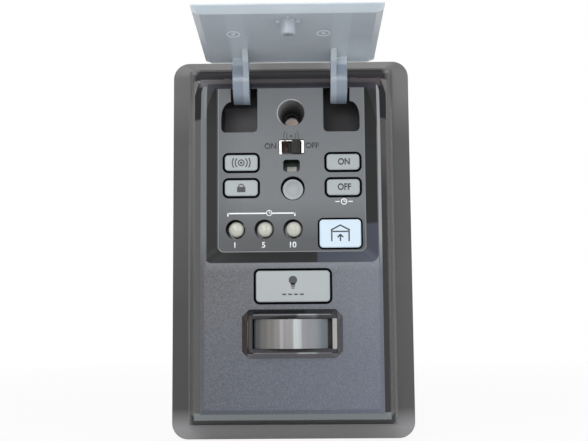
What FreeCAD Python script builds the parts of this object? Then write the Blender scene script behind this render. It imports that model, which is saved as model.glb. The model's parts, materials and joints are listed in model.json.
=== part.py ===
import FreeCAD, Part
import math
import os
import Sketcher

os.makedirs("parts", exist_ok=True)
doc = FreeCAD.newDocument("wall_control")
dims = doc.addObject("Spreadsheet::Sheet", "dims")

# Every size in millimetres. Depth is measured from the wall toward the room (-Y).
VALUES = [
    # case
    ("case_width", 88.0), ("case_height", 139.0), ("case_corner", 5.9),
    ("flange_edge", 1.0), ("flange_rise", 2.4), ("face_depth", 23.6),
    ("flank_depth", 19.0), ("base_half", 37.6), ("base_top", 66.0), ("base_bottom", -64.3),
    ("front_half", 33.8), ("front_top", 59.8), ("front_bottom", -60.6),
    ("front_chamfer", 2.8), ("curve_start", 37.5), ("curve_radius", 60.0),
    ("wall", 2.0), ("floor_depth", 20.6), ("floor_half", 26.0),
    ("floor_bottom", -3.1), ("floor_top", 54.7), ("mouth_half", 30.1),
    ("mouth_bottom", -7.1), ("mouth_top", 57.6), ("plate_back", 21.4),
    ("floor_corner", 2.2), ("mouth_corner", 2.9),
    # push bar, measured from its hinge axis with the plate upright
    ("hinge_depth", 17.0), ("hinge_height", 58.0), ("pin_radius", 1.1), ("pin_clearance", 0.07),
    ("bar_width", 59.6), ("bar_length", 45.0), ("bar_thickness", 1.4), ("bar_under", 5.95),
    ("bar_end", -3.31), ("bar_bevel_side", 2.2), ("bar_bevel_end", 4.6), ("bar_edge", 0.5),
    ("bar_open_angle", 95.8), ("arm_inner", 14.2), ("arm_width", 5.8), ("arm_thickness", 2.0),
    ("arm_reach", 8.2), ("arm_eye", 1.2), ("lug_gap", 1.2), ("lug_width", 2.4),
    ("post_x", 0.0), ("post_drop", -38.8), ("post_radius", 2.4), ("post_length", 5.2),
    ("gusset", 2.0), ("gusset_run", 8.3), ("gusset_foot", 1.2), ("relief", 0.35),
    # slots in the recess floor
    ("slot_in", 11.6), ("slot_out", 24.3), ("slot_bottom", 39.1), ("slot_narrow", 20.9),
    ("slot_bend_low", 44.6), ("slot_bend_high", 50.0),
    # top screw hole and keyhole
    ("screw_x", 0.3), ("screw_z", 45.8), ("screw_bore", 2.4), ("screw_cone", 4.7),
    ("screw_land", 6.0), ("screw_tube", 5.6), ("keyhole_drop", 83.3), ("keyhole_head", 4.4),
    ("keyhole_neck", 2.2),
    # board, cover and their screws
    ("cover_thickness", 2.0), ("cover_clearance", 0.4), ("board_back", 9.0), ("board_thickness", 1.6),
    ("board_half", 31.6), ("board_top", 38.0), ("board_bottom", -57.4), ("case_screw_x", 28.6),
    ("case_screw_top", 33.0), ("case_screw_low", -54.0), ("case_screw_radius", 1.45),
    ("case_screw_head", 2.7), ("boss_radius", 3.0), ("post_wall", 1.3), ("screw_fit", 0.05),
    # buttons
    ("cap_rise", 0.45), ("cap_gap", 0.6), ("gap_shift", 0.15), ("cap_corner", 1.3), ("cap_lip", 0.85), ("lip_thickness", 1.0),
    ("press", 0.5), ("stem_radius", 1.6), ("lift", 0.05),
    ("small_width", 11.5), ("small_height", 5.6), ("left_x", -17.3), ("right_x", 18.3),
    ("upper_z", 28.2), ("lower_z", 19.3), ("hold_x", 17.05), ("hold_z", 3.1),
    ("hold_width", 14.4), ("hold_height", 9.8), ("light_x", 0.5), ("light_z", -15.1),
    ("light_width", 25.3), ("light_height", 10.7), ("door_x", 0.67), ("door_z", 19.1),
    ("door_radius", 3.6), ("door_hole", 4.2), ("door_top", 17.45), ("door_guide", 15.4),
    # tact switches
    ("tact_size", 6.0), ("tact_height", 3.5), ("tact_low", 2.3), ("plunger_radius", 1.7),
    ("plunger_gap", 0.06), ("plunger_rise", 1.5), ("plunger_rise_low", 1.1), ("plunger_sunk", 1.3),
    # lights
    ("lamp_z", 4.8), ("lamp_1_x", -19.1), ("lamp_5_x", -9.1), ("lamp_10_x", 0.9),
    ("lamp_hole", 3.4), ("lamp_radius", 2.8), ("lamp_rim", 3.1), ("lamp_top", 21.4),
    ("status_x", 0.28), ("status_z", 27.1), ("status_width", 5.8), ("status_height", 4.2),
    ("chip_width", 3.3), ("chip_height", 2.0),
    # slide switch
    ("switch_x", 0.34), ("switch_z", 33.78), ("switch_width", 8.8), ("switch_height", 5.2),
    ("knob_x", 2.0), ("knob_width", 3.0), ("knob_height", 4.1), ("slider_left", -1.0),
    ("slider_right", 3.7), ("knob_travel", 2.0),
    # motion sensor
    ("sensor_x", 0.2), ("sensor_z", -31.2), ("bezel_width", 34.3), ("bezel_height", 16.6),
    ("bezel_cut", 2.4), ("bezel_rise", 2.7), ("ridge_width", 30.4), ("ridge_height", 13.2),
    ("window_width", 26.9), ("window_height", 10.1), ("window_set", 1.5), ("lens_width", 25.0),
    ("lens_radius", 31.0), ("lens_thickness", 1.0), ("can_radius", 4.6), ("can_height", 4.2),
    # terminals
    ("block_x", 0.0), ("block_z", 15.0), ("block_width", 13.0), ("block_height", 9.0),
    ("block_depth", 6.0), ("term_pitch", 5.6), ("term_radius", 1.5),
    ("opening_width", 24.6), ("opening_height", 14.0),
]
row = 0
for alias, number in VALUES:
    row += 1
    dims.set("A%d" % row, alias)
    dims.set("B%d" % row, str(number))
    dims.setAlias("B%d" % row, alias)
doc.recompute()


def words(expression):
    """Put the sheet's name before each alias of an expression."""
    text = ""
    word = ""
    for sign in expression + " ":
        if sign.isalnum() or sign in "_.":
            word += sign
            continue
        if word and (word[0].isalpha()) and word not in ("sqrt", "sin", "cos", "tan"):
            word = "dims." + word
        text += word + sign
        word = ""
    return text.strip()


def val(expression):
    """Number that an expression of the sheet stands for now."""
    return float(dims.evalExpression(words(expression)))


def bind(thing, prop, expression):
    thing.setExpression(prop, words(expression))


# Sketch helpers. Points are pairs of expressions in the sketch's own plane.
def new_body(name):
    body = doc.addObject("PartDesign::Body", name)
    body.Label = name
    return body


def new_sketch(body, name, role, offset):
    sketch = body.newObject("Sketcher::SketchObject", name)
    for feature in body.Origin.OriginFeatures:
        if feature.Role == role:
            plane = feature
    sketch.AttachmentSupport = [(plane, "")]
    sketch.MapMode = "FlatFace"
    sketch.AttachmentOffset.Base.z = val(offset)
    bind(sketch, "AttachmentOffset.Base.z", offset)
    return sketch


def front_sketch(body, name, depth):
    return new_sketch(body, name, "XZ_Plane", depth)


def side_sketch(body, name, x):
    return new_sketch(body, name, "YZ_Plane", x)


def pin_down(sketch, geo, point, x, y):
    for kind, text in (("DistanceX", x), ("DistanceY", y)):
        label = "c%d" % len(sketch.Constraints)
        rule = Sketcher.Constraint(kind, -1, 1, geo, point, val(text))
        rule.Name = label
        sketch.addConstraint(rule)
        bind(sketch, "Constraints." + label, text)


def polygon(sketch, corners):
    """Closed outline of straight lines; every corner is held by expressions."""
    spots = []
    for x, y in corners:
        spots.append(FreeCAD.Vector(val(x), val(y), 0))
    first = sketch.GeometryCount
    count = len(spots)
    for k in range(count):
        sketch.addGeometry(Part.LineSegment(spots[k], spots[(k + 1) % count]))
    for k in range(count):
        after = first + (k + 1) % count
        sketch.addConstraint(Sketcher.Constraint("Coincident", first + k, 2, after, 1))
    for k in range(count):
        pin_down(sketch, first + k, 1, corners[k][0], corners[k][1])


def circle(sketch, x, y, radius):
    spot = FreeCAD.Vector(val(x), val(y), 0)
    geo = sketch.addGeometry(Part.Circle(spot, FreeCAD.Vector(0, 0, 1), val(radius)))
    pin_down(sketch, geo, 3, x, y)
    label = "c%d" % len(sketch.Constraints)
    rule = Sketcher.Constraint("Radius", geo, val(radius))
    rule.Name = label
    sketch.addConstraint(rule)
    bind(sketch, "Constraints." + label, radius)


def rounded(sketch, x, y, width, height, radius):
    """Rectangle about (x, y) with round corners."""
    cx, cy = val(x), val(y)
    w, h, r = val(width) / 2, val(height) / 2, val(radius)
    first = sketch.GeometryCount
    lines = (((-w + r, -h), (w - r, -h)), ((w, -h + r), (w, h - r)),
             ((w - r, h), (-w + r, h)), ((-w, h - r), (-w, -h + r)))
    for start, end in lines:
        a = FreeCAD.Vector(cx + start[0], cy + start[1], 0)
        b = FreeCAD.Vector(cx + end[0], cy + end[1], 0)
        sketch.addGeometry(Part.LineSegment(a, b))
    corners = ((w - r, -h + r, -90), (w - r, h - r, 0), (-w + r, h - r, 90), (-w + r, -h + r, 180))
    for px, py, turn in corners:
        ring = Part.Circle(FreeCAD.Vector(cx + px, cy + py, 0), FreeCAD.Vector(0, 0, 1), r)
        sketch.addGeometry(Part.ArcOfCircle(ring, math.radians(turn), math.radians(turn + 90)))
    for k in range(4):
        sketch.addConstraint(Sketcher.Constraint("Tangent", first + k, 2, first + 4 + k, 1))
        sketch.addConstraint(Sketcher.Constraint("Tangent", first + 4 + k, 2, first + (k + 1) % 4, 1))
    for k in (0, 2):
        sketch.addConstraint(Sketcher.Constraint("Horizontal", first + k))
        sketch.addConstraint(Sketcher.Constraint("Vertical", first + k + 1))
    for k in range(3):
        sketch.addConstraint(Sketcher.Constraint("Equal", first + 4, first + 5 + k))
    label = "c%d" % len(sketch.Constraints)
    rule = Sketcher.Constraint("Radius", first + 4, r)
    rule.Name = label
    sketch.addConstraint(rule)
    bind(sketch, "Constraints." + label, radius)
    low_x = "%s - (%s) / 2 + (%s)" % (x, width, radius)
    low_y = "%s - (%s) / 2" % (y, height)
    high_x = "%s + (%s) / 2 - (%s)" % (x, width, radius)
    high_y = "%s + (%s) / 2" % (y, height)
    pin_down(sketch, first, 1, low_x, low_y)
    pin_down(sketch, first + 2, 1, high_x, high_y)


# Feature helpers
def pad(body, sketch, name, length):
    feature = body.newObject("PartDesign::Pad", name)
    feature.Profile = sketch
    bind(feature, "Length", length)
    sketch.Visibility = False
    return feature


def pocket(body, sketch, name, length):
    feature = body.newObject("PartDesign::Pocket", name)
    feature.Profile = sketch
    bind(feature, "Length", length)
    sketch.Visibility = False
    return feature


def loft(body, name, sketches, kind):
    feature = body.newObject("PartDesign::" + kind, name)
    feature.Profile = sketches[0]
    feature.Sections = sketches[1:]
    feature.Ruled = True
    return feature


def disc(name, radius, x, z, near, far):
    """Cylinder along the depth direction, from depth near to depth far."""
    thing = doc.addObject("Part::Cylinder", name)
    bind(thing, "Radius", radius)
    bind(thing, "Height", "(%s) - (%s)" % (far, near))
    thing.Placement = FreeCAD.Placement(FreeCAD.Vector(0, 0, 0),
                                        FreeCAD.Rotation(FreeCAD.Vector(1, 0, 0), 90))
    bind(thing, "Placement.Base.x", x)
    bind(thing, "Placement.Base.y", "-(%s)" % near)
    bind(thing, "Placement.Base.z", z)
    return thing


def block(name, width, height, x, z, near, far):
    """Box about (x, z), from depth near to depth far."""
    thing = doc.addObject("Part::Box", name)
    bind(thing, "Length", width)
    bind(thing, "Width", "(%s) - (%s)" % (far, near))
    bind(thing, "Height", height)
    bind(thing, "Placement.Base.x", "%s - (%s) / 2" % (x, width))
    bind(thing, "Placement.Base.y", "-(%s)" % far)
    bind(thing, "Placement.Base.z", "%s - (%s) / 2" % (z, height))
    return thing


def fuse(name, shapes):
    thing = doc.addObject("Part::MultiFuse", name)
    thing.Shapes = shapes
    thing.Refine = True
    return thing


def cut(name, base, tools):
    tool = tools[0]
    if len(tools) > 1:
        tool = fuse(name + "_tools", tools)
    thing = doc.addObject("Part::Cut", name)
    thing.Base = base
    thing.Tool = tool
    return thing


def group(name, things):
    thing = doc.addObject("Part::Compound", name)
    thing.Links = things
    return thing


NODES = []


def node(thing, name):
    thing.Label = name
    NODES.append((thing, name))
    return thing


BOARD_FRONT = "(board_back + board_thickness)"
FLOOR_BACK = "(floor_depth - wall)"

# Front housing
housing = new_body("front_housing")
edge = front_sketch(housing, "flange_outline", "flange_edge * 0")
rounded(edge, "case_width * 0", "case_height * 0", "case_width", "case_height", "case_corner")
pad(housing, edge, "flange_plate", "flange_edge")
low = front_sketch(housing, "flange_low", "flange_edge")
rounded(low, "case_width * 0", "case_height * 0", "case_width", "case_height", "case_corner")
high = front_sketch(housing, "flange_high", "flange_rise")
rounded(high, "case_width * 0", "(base_top + base_bottom) / 2", "base_half * 2 + 1",
        "base_top - base_bottom + 1", "case_corner / 2")
loft(housing, "flange_slope", [low, high], "AdditiveLoft")


def flank(value_base, value_front, depth):
    run = "(%s - flange_rise) / (flank_depth - flange_rise)" % depth
    return "%s + (%s - %s) * %s" % (value_base, value_front, value_base, run)


def rectangle(sketch, half, bottom, top):
    polygon(sketch, [("-(%s)" % half, bottom), (half, bottom), (half, top), ("-(%s)" % half, top)])


def island_sketch(name, depth):
    sketch = front_sketch(housing, name, depth)
    rectangle(sketch, flank("base_half", "front_half", depth),
              flank("base_bottom", "front_bottom", depth), flank("base_top", "front_top", depth))
    return sketch


island_low = island_sketch("island_low", "flange_edge")
island_high = island_sketch("island_high", "(face_depth + 1.4)")
loft(housing, "island", [island_low, island_high], "AdditiveLoft")

# The face is flat below and bends back above; everything in front of it comes off.
front_cut = side_sketch(housing, "face_profile", "case_width * 0")
centre = FreeCAD.Vector(-val("face_depth - curve_radius"), val("curve_start"), 0)
radius = val("curve_radius")
top_turn = math.asin((val("case_height") / 2 - val("curve_start")) / radius)
bend = Part.ArcOfCircle(Part.Circle(centre, FreeCAD.Vector(0, 0, 1), radius), math.pi - top_turn, math.pi)
bend_top = bend.StartPoint
bend_foot = bend.EndPoint
far = -val("face_depth + 6")
low_z = -val("case_height / 2 + 3")
front_cut.addGeometry(bend)
front_cut.addGeometry(Part.LineSegment(bend_foot, FreeCAD.Vector(bend_foot.x, low_z, 0)))
front_cut.addGeometry(Part.LineSegment(FreeCAD.Vector(bend_foot.x, low_z, 0),
                                       FreeCAD.Vector(far, low_z, 0)))
front_cut.addGeometry(Part.LineSegment(FreeCAD.Vector(far, low_z, 0),
                                       FreeCAD.Vector(far, bend_top.y, 0)))
front_cut.addGeometry(Part.LineSegment(FreeCAD.Vector(far, bend_top.y, 0), bend_top))
for geo, end, other, start in ((0, 2, 1, 1), (1, 2, 2, 1), (2, 2, 3, 1), (3, 2, 4, 1), (4, 2, 0, 1)):
    front_cut.addConstraint(Sketcher.Constraint("Coincident", geo, end, other, start))
pin_down(front_cut, 0, 3, "curve_radius - face_depth", "curve_start")
pin_down(front_cut, 1, 1, "-face_depth", "curve_start")
pin_down(front_cut, 2, 1, "-face_depth", "-(case_height / 2 + 3)")
pin_down(front_cut, 3, 1, "-(face_depth + 6)", "-(case_height / 2 + 3)")
face_cut = pocket(housing, front_cut, "face_cut", "case_width")
face_cut.Midplane = True
doc.recompute()

# Chamfer round the front of the island
names = []
shape = face_cut.Shape
for index, item in enumerate(shape.Edges):
    box = item.BoundBox
    depth_low, depth_high = -box.YMax, -box.YMin
    long_side = max(box.XLength, box.ZLength)
    inside = depth_low > val("flank_depth - 3") and long_side > 10
    seam = abs(box.ZMax - val("curve_start")) < 0.01 and abs(box.ZMin - val("curve_start")) < 0.01
    if inside and not seam:
        names.append("Edge%d" % (index + 1))
chamfer = housing.newObject("PartDesign::Chamfer", "front_chamfer")
chamfer.Base = (face_cut, names)
bind(chamfer, "Size", "front_chamfer")

# Recess with sloped walls; round lower corners, square upper ones
OVER = "(face_depth + 1 - floor_depth) / (face_depth - floor_depth)"
WIDE = "(floor_half + (mouth_half - floor_half) * " + OVER + ")"
DOWN = "(floor_bottom + (mouth_bottom - floor_bottom) * " + OVER + ")"
UP = "(floor_top + (mouth_top - floor_top) * " + OVER + ")"
floor_low = front_sketch(housing, "recess_floor", "floor_depth")
rounded(floor_low, "floor_half * 0", "(floor_top + floor_bottom) / 2", "floor_half * 2",
        "floor_top - floor_bottom", "floor_corner")
floor_high = front_sketch(housing, "recess_mouth", "(face_depth + 1)")
rounded(floor_high, "floor_half * 0", "(" + UP + " + " + DOWN + ") / 2", WIDE + " * 2",
        UP + " - " + DOWN, "mouth_corner")
loft(housing, "recess", [floor_low, floor_high], "SubtractiveLoft")
upper_low = front_sketch(housing, "recess_upper_floor", "floor_depth")
rectangle(upper_low, "floor_half", "floor_top - 30", "floor_top")
upper_high = front_sketch(housing, "recess_upper_mouth", "(face_depth + 1)")
rectangle(upper_high, WIDE, "floor_top - 30", UP)
loft(housing, "recess_upper", [upper_low, upper_high], "SubtractiveLoft")

# Hollow inside
cave_low = front_sketch(housing, "cavity_back", "flange_edge * 0")
rectangle(cave_low, flank("base_half", "front_half", "wall * 0") + " - wall * 1.1",
          flank("base_bottom", "front_bottom", "wall * 0") + " + wall",
          flank("base_top", "front_top", "wall * 0") + " - wall")
cave_high = front_sketch(housing, "cavity_front", FLOOR_BACK)
rectangle(cave_high, flank("base_half", "front_half", FLOOR_BACK) + " - wall",
          flank("base_bottom", "front_bottom", FLOOR_BACK) + " + wall",
          flank("base_top", "front_top", FLOOR_BACK) + " - wall * 1.08")
loft(housing, "cavity", [cave_low, cave_high], "SubtractiveLoft")
deep = front_sketch(housing, "deep_outline", "plate_back")
rectangle(deep, "front_half - wall * 2.2", "front_bottom + wall * 2.4", "mouth_bottom - 0.8")
pocket(housing, deep, "deep_cavity", "plate_back - floor_depth + wall + 0.3")

# Slots for the arms
slots = front_sketch(housing, "slot_outline", "floor_depth + 0.2")
for side in ("", "-"):
    corners = [("slot_in", "slot_bottom + 1.4"), ("slot_in + 0.4", "slot_bottom + 0.4"),
               ("slot_in + 1.4", "slot_bottom"), ("slot_out - 1.4", "slot_bottom"),
               ("slot_out - 0.4", "slot_bottom + 0.4"), ("slot_out", "slot_bottom + 1.4")]
    for turn in (0, 22.5, 45, 67.5):
        corners.append(("slot_narrow + (slot_out - slot_narrow) * %.4f" % math.cos(math.radians(turn)),
                        "slot_bend_low + (slot_bend_high - slot_bend_low) * %.4f" % math.sin(math.radians(turn))))
    corners += [("slot_narrow", "slot_bend_high"), ("slot_narrow", "floor_top"), ("slot_in", "floor_top")]
    polygon(slots, [("%s%s" % (side, "(" + x + ")"), y) for x, y in corners])
pocket(housing, slots, "slots", "wall + 0.4")

# Holes of the recess floor
holes = front_sketch(housing, "floor_holes", "floor_depth + 0.2")
for x, z in (("left_x", "upper_z"), ("left_x", "lower_z"), ("right_x", "upper_z"), ("right_x", "lower_z")):
    rounded(holes, x + " - gap_shift", z, "small_width + cap_gap * 2", "small_height + cap_gap * 2",
            "cap_corner + cap_gap")
rounded(holes, "hold_x", "hold_z", "hold_width + cap_gap * 2", "hold_height + cap_gap * 2",
        "cap_corner + cap_gap")
for x in ("lamp_1_x", "lamp_5_x", "lamp_10_x"):
    circle(holes, x + " - gap_shift * 1.7", "lamp_z", "lamp_hole")
circle(holes, "door_x", "door_z", "door_hole")
rounded(holes, "status_x", "status_z", "status_width", "status_height", "cap_corner * 0.8")
rounded(holes, "switch_x", "switch_z", "switch_width", "switch_height", "cap_corner / 3")
pocket(housing, holes, "floor_openings", "wall + 0.4")
plate_holes = front_sketch(housing, "plate_holes", "face_depth + 0.2")
rounded(plate_holes, "light_x - gap_shift", "light_z", "light_width + cap_gap * 2", "light_height + cap_gap * 2",
        "cap_corner + cap_gap")
rounded(plate_holes, "sensor_x", "sensor_z", "window_width + 2", "window_height + 2", "cap_corner")
pocket(housing, plate_holes, "plate_openings", "face_depth - plate_back + 0.4")

# Bosses for the case screws, guide of the round button, tube of the wall screw
bosses = front_sketch(housing, "boss_top", BOARD_FRONT)
for side in ("", "-"):
    circle(bosses, side + "case_screw_x", "case_screw_top", "boss_radius")
pad(housing, bosses, "bosses_top", "floor_depth - wall + 0.2 - " + BOARD_FRONT)
bosses = front_sketch(housing, "boss_low", BOARD_FRONT)
for side in ("", "-"):
    circle(bosses, side + "case_screw_x", "case_screw_low", "boss_radius")
pad(housing, bosses, "bosses_low", "plate_back + 0.2 - " + BOARD_FRONT)
pilot = front_sketch(housing, "pilot_holes", "floor_depth - wall - 1")
for side in ("", "-"):
    for z in ("case_screw_top", "case_screw_low"):
        circle(pilot, side + "case_screw_x", z, "case_screw_radius + screw_fit")
pocket(housing, pilot, "pilots", "floor_depth - wall - " + BOARD_FRONT)
guide = front_sketch(housing, "guide_ring", "door_guide")
circle(guide, "door_x", "door_z", "door_hole + wall * 0.6")
circle(guide, "door_x", "door_z", "door_hole")
pad(housing, guide, "guide", "floor_depth - wall + 0.2 - door_guide")
tube = front_sketch(housing, "tube_outline", "wall * 0")
circle(tube, "screw_x", "screw_z", "screw_tube")
pad(housing, tube, "tube", "floor_depth - wall + 0.2")
bore = front_sketch(housing, "tube_bore", "screw_land + 0.2")
circle(bore, "screw_x", "screw_z", "screw_bore")
pocket(housing, bore, "wall_screw_bore", "screw_land + 0.4")
CONE = "(screw_cone - screw_bore - 0.5) / (floor_depth - screw_land)"
cone_low = front_sketch(housing, "cone_low", "screw_land")
circle(cone_low, "screw_x", "screw_z", "screw_bore + 0.5")
cone_high = front_sketch(housing, "cone_high", "floor_depth + 0.4")
circle(cone_high, "screw_x", "screw_z", "screw_cone + 0.4 * " + CONE)
loft(housing, "screw_head_cone", [cone_low, cone_high], "SubtractiveLoft")

# Bearing lugs of the hinge
TOP_WALL = flank("base_top", "front_top", "(hinge_depth %s)") + " - wall / 2"
for side, name in (("", "right"), ("-", "left")):
    x = "arm_inner + arm_width + lug_gap"
    if side:
        x = "-(" + x + " + lug_width)"
    lug = side_sketch(housing, "lug_" + name, x)
    reach = "(pin_radius + 1.3)"
    ahead = "(pin_radius + 0.8)"
    polygon(lug, [("-(hinge_depth + %s)" % ahead, "hinge_height - " + reach),
                  ("-(hinge_depth - %s)" % reach, "hinge_height - " + reach),
                  ("-(hinge_depth - %s)" % reach, TOP_WALL % ("- " + reach)),
                  ("-(hinge_depth + %s)" % ahead, TOP_WALL % ("+ " + ahead))])
    pad(housing, lug, "bearing_" + name, "lug_width")
    x = "arm_inner + arm_width + lug_gap"
    if side:
        x = "-(arm_inner - relief)"
    hollow = side_sketch(housing, "relief_" + name, x)
    circle(hollow, "-hinge_depth", "hinge_height", "arm_eye + relief")
    pocket(housing, hollow, "eye_relief_" + name, "arm_width + lug_gap + relief")
    ahead = side_sketch(housing, "spoke_relief_" + name, x)
    spot = "hinge_height + arm_eye + relief"
    polygon(ahead, [("-hinge_depth", "hinge_height"), ("-hinge_depth", spot), ("-(hinge_depth - 6)", spot),
                    ("-(hinge_depth - 6)", "hinge_height")])
    pocket(housing, ahead, "spoke_way_" + name, "arm_width + lug_gap + relief")
bearing = side_sketch(housing, "bearing_bore", "case_width * 0")
circle(bearing, "-hinge_depth", "hinge_height", "pin_radius + pin_clearance")
bores = pocket(housing, bearing, "bearing_bores", "(arm_inner + arm_width + lug_gap + lug_width + 0.5) * 2")
bores.Midplane = True
node(housing, "front_housing")

# Push bar, drawn upright about its hinge axis and then turned open
bar = new_body("push_bar")
under = front_sketch(bar, "bar_under_outline", "bar_under")
rectangle(under, "bar_width / 2 - bar_bevel_side", "bar_end - bar_length + bar_bevel_end", "bar_end")
rim = front_sketch(bar, "bar_rim_outline", "bar_under + bar_thickness - bar_edge")
rectangle(rim, "bar_width / 2", "bar_end - bar_length", "bar_end")
loft(bar, "bar_bevel", [under, rim], "AdditiveLoft")
face = front_sketch(bar, "bar_face_outline", "bar_under + bar_thickness - bar_edge")
rectangle(face, "bar_width / 2", "bar_end - bar_length", "bar_end")
pad(bar, face, "bar_face", "bar_edge")


def arm_profile(sketch):
    """Swan neck: straight strap, quarter turn about the hinge, spoke to the pin."""
    outer, inner = val("arm_reach"), val("arm_reach - arm_thickness")
    eye, root = val("arm_eye"), val("bar_under + 0.3")
    deep_in = math.sqrt(inner * inner - eye * eye)
    deep_out = math.sqrt(outer * outer - eye * eye)
    up = FreeCAD.Vector(0, 0, 1)
    middle = FreeCAD.Vector(0, 0, 0)
    turn_in = math.asin(eye / inner)
    turn_out = math.asin(eye / outer)
    big = Part.Circle(middle, up, outer)
    small = Part.Circle(middle, up, inner)
    eye_ring = Part.Circle(middle, up, eye)
    pieces = [
        Part.LineSegment(FreeCAD.Vector(-root, -outer, 0), FreeCAD.Vector(0, -outer, 0)),
        Part.ArcOfCircle(big, -math.pi / 2, turn_out),
        Part.LineSegment(FreeCAD.Vector(deep_out, eye, 0), FreeCAD.Vector(0, eye, 0)),
        Part.ArcOfCircle(eye_ring, math.pi / 2, math.pi * 1.5),
        Part.LineSegment(FreeCAD.Vector(0, -eye, 0), FreeCAD.Vector(deep_in, -eye, 0)),
        Part.ArcOfCircle(small, -math.pi / 2, -turn_in),
        Part.LineSegment(FreeCAD.Vector(0, -inner, 0), FreeCAD.Vector(-root, -inner, 0)),
        Part.LineSegment(FreeCAD.Vector(-root, -inner, 0), FreeCAD.Vector(-root, -outer, 0)),
    ]
    for piece in pieces:
        sketch.addGeometry(piece)
    joins = ((0, 2, 1, 1), (1, 2, 2, 1), (2, 2, 3, 1), (3, 2, 4, 1), (4, 2, 5, 2), (5, 1, 6, 1),
             (6, 2, 7, 1), (7, 2, 0, 1))
    for one, end, two, start in joins:
        sketch.addConstraint(Sketcher.Constraint("Coincident", one, end, two, start))
    for arc in (1, 3, 5):
        sketch.addConstraint(Sketcher.Constraint("Coincident", arc, 3, -1, 1))
    pin_down(sketch, 0, 1, "-(bar_under + 0.3)", "-arm_reach")
    pin_down(sketch, 0, 2, "arm_reach * 0", "-arm_reach")
    pin_down(sketch, 6, 1, "arm_reach * 0", "-(arm_reach - arm_thickness)")
    pin_down(sketch, 7, 1, "-(bar_under + 0.3)", "-(arm_reach - arm_thickness)")
    pin_down(sketch, 3, 1, "arm_eye * 0", "arm_eye")
    sketch.addConstraint(Sketcher.Constraint("PointOnObject", 3, 2, -2))
    sketch.addConstraint(Sketcher.Constraint("Horizontal", 2))
    sketch.addConstraint(Sketcher.Constraint("Horizontal", 4))


for side, name in (("", "right"), ("-", "left")):
    x = "arm_inner"
    pin_x = "arm_inner + arm_width - 0.4"
    web_x = "arm_inner"
    if side:
        x = "-(arm_inner + arm_width)"
        pin_x = "-(arm_inner + arm_width + lug_gap + lug_width - 0.1)"
        web_x = "-(arm_inner + gusset)"
    arm = side_sketch(bar, "arm_" + name, x)
    arm_profile(arm)
    pad(bar, arm, "neck_" + name, "arm_width")
    pin = side_sketch(bar, "pin_" + name, pin_x)
    circle(pin, "pin_radius * 0", "pin_radius * 0", "pin_radius")
    pad(bar, pin, "hinge_pin_" + name, "lug_gap + lug_width + 0.3")
    web = side_sketch(bar, "web_" + name, web_x)
    polygon(web, [("-(bar_under + 0.3)", "-(arm_reach - 0.5)"),
                  ("-(bar_under + 0.3)", "-(arm_reach + gusset_run)"),
                  ("gusset_foot", "-(arm_reach - 0.02)"), ("gusset_foot", "-(arm_reach - 0.5)")])
    pad(bar, web, "gusset_" + name, "gusset")
press = front_sketch(bar, "post_outline", "bar_under - post_length")
circle(press, "post_x", "post_drop", "post_radius")
pad(bar, press, "post", "post_length + 0.3")
dimple = front_sketch(bar, "post_hollow", "bar_under - post_length + 1.2")
circle(dimple, "post_x", "post_drop", "post_radius - 0.9")
pocket(bar, dimple, "post_hole", "post_length")
fins = front_sketch(bar, "fin_outline", "bar_under - 1.1")
for wide, tall in (("post_radius * 2 + 3.2", "gusset * 0.4"), ("gusset * 0.4", "post_radius * 2 + 3.2")):
    w, h = "(" + wide + ") / 2", "(" + tall + ") / 2"
    fin = front_sketch(bar, "fin", "bar_under - 1.1") if wide[0] == "g" else fins
    polygon(fin, [("post_x - " + w, "post_drop - " + h), ("post_x + " + w, "post_drop - " + h),
                  ("post_x + " + w, "post_drop + " + h), ("post_x - " + w, "post_drop + " + h)])
    pad(bar, fin, "post_fins", "1.4 * gusset / gusset")
bar.Placement = FreeCAD.Placement(FreeCAD.Vector(0, -val("hinge_depth"), val("hinge_height")),
                                  FreeCAD.Rotation(FreeCAD.Vector(1, 0, 0), -val("bar_open_angle")))
bind(bar, "Placement.Base.y", "-hinge_depth")
bind(bar, "Placement.Base.z", "hinge_height")
node(bar, "push_bar")

# Rear cover with keyhole, opening for the terminals and posts for the board
cover = new_body("rear_cover")
plate = front_sketch(cover, "cover_outline", "wall * 0")
rectangle(plate, flank("base_half", "front_half", "cover_thickness") + " - wall * 1.1 - cover_clearance",
          flank("base_bottom", "front_bottom", "cover_thickness") + " + wall + cover_clearance",
          flank("base_top", "front_top", "cover_thickness") + " - wall - cover_clearance")
pad(cover, plate, "cover_plate", "cover_thickness")
posts = front_sketch(cover, "cover_posts", "cover_thickness - 0.2")
for side in ("", "-"):
    for z in ("case_screw_top", "case_screw_low"):
        circle(posts, side + "case_screw_x", z, "case_screw_head + post_wall * 0.6")
pad(cover, posts, "posts", "board_back - cover_thickness + 0.2")
wells = front_sketch(cover, "screw_wells", "board_back - 2")
for side in ("", "-"):
    for z in ("case_screw_top", "case_screw_low"):
        circle(wells, side + "case_screw_x", z, "case_screw_head + screw_fit * 2")
pocket(cover, wells, "wells", "board_back - 2 + 0.2")
shanks = front_sketch(cover, "shank_holes", "board_back + 0.2")
for side in ("", "-"):
    for z in ("case_screw_top", "case_screw_low"):
        circle(shanks, side + "case_screw_x", z, "case_screw_radius + 0.15")
pocket(cover, shanks, "shanks", "2.6 * wall / wall")
ways = front_sketch(cover, "cover_ways", "cover_thickness + 0.2")
circle(ways, "screw_x", "screw_z", "screw_tube + 0.2")
circle(ways, "screw_x", "screw_z - keyhole_drop", "keyhole_head")
rounded(ways, "block_x", "block_z", "opening_width", "opening_height", "wall / 2")
pocket(cover, ways, "ways", "cover_thickness + 0.4")
neck = front_sketch(cover, "keyhole_slot", "cover_thickness + 0.2")
polygon(neck, [("screw_x - keyhole_neck", "screw_z - keyhole_drop"),
               ("screw_x + keyhole_neck", "screw_z - keyhole_drop"),
               ("screw_x + keyhole_neck", "screw_z - keyhole_drop + keyhole_head * 2"),
               ("screw_x - keyhole_neck", "screw_z - keyhole_drop + keyhole_head * 2")])
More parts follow.
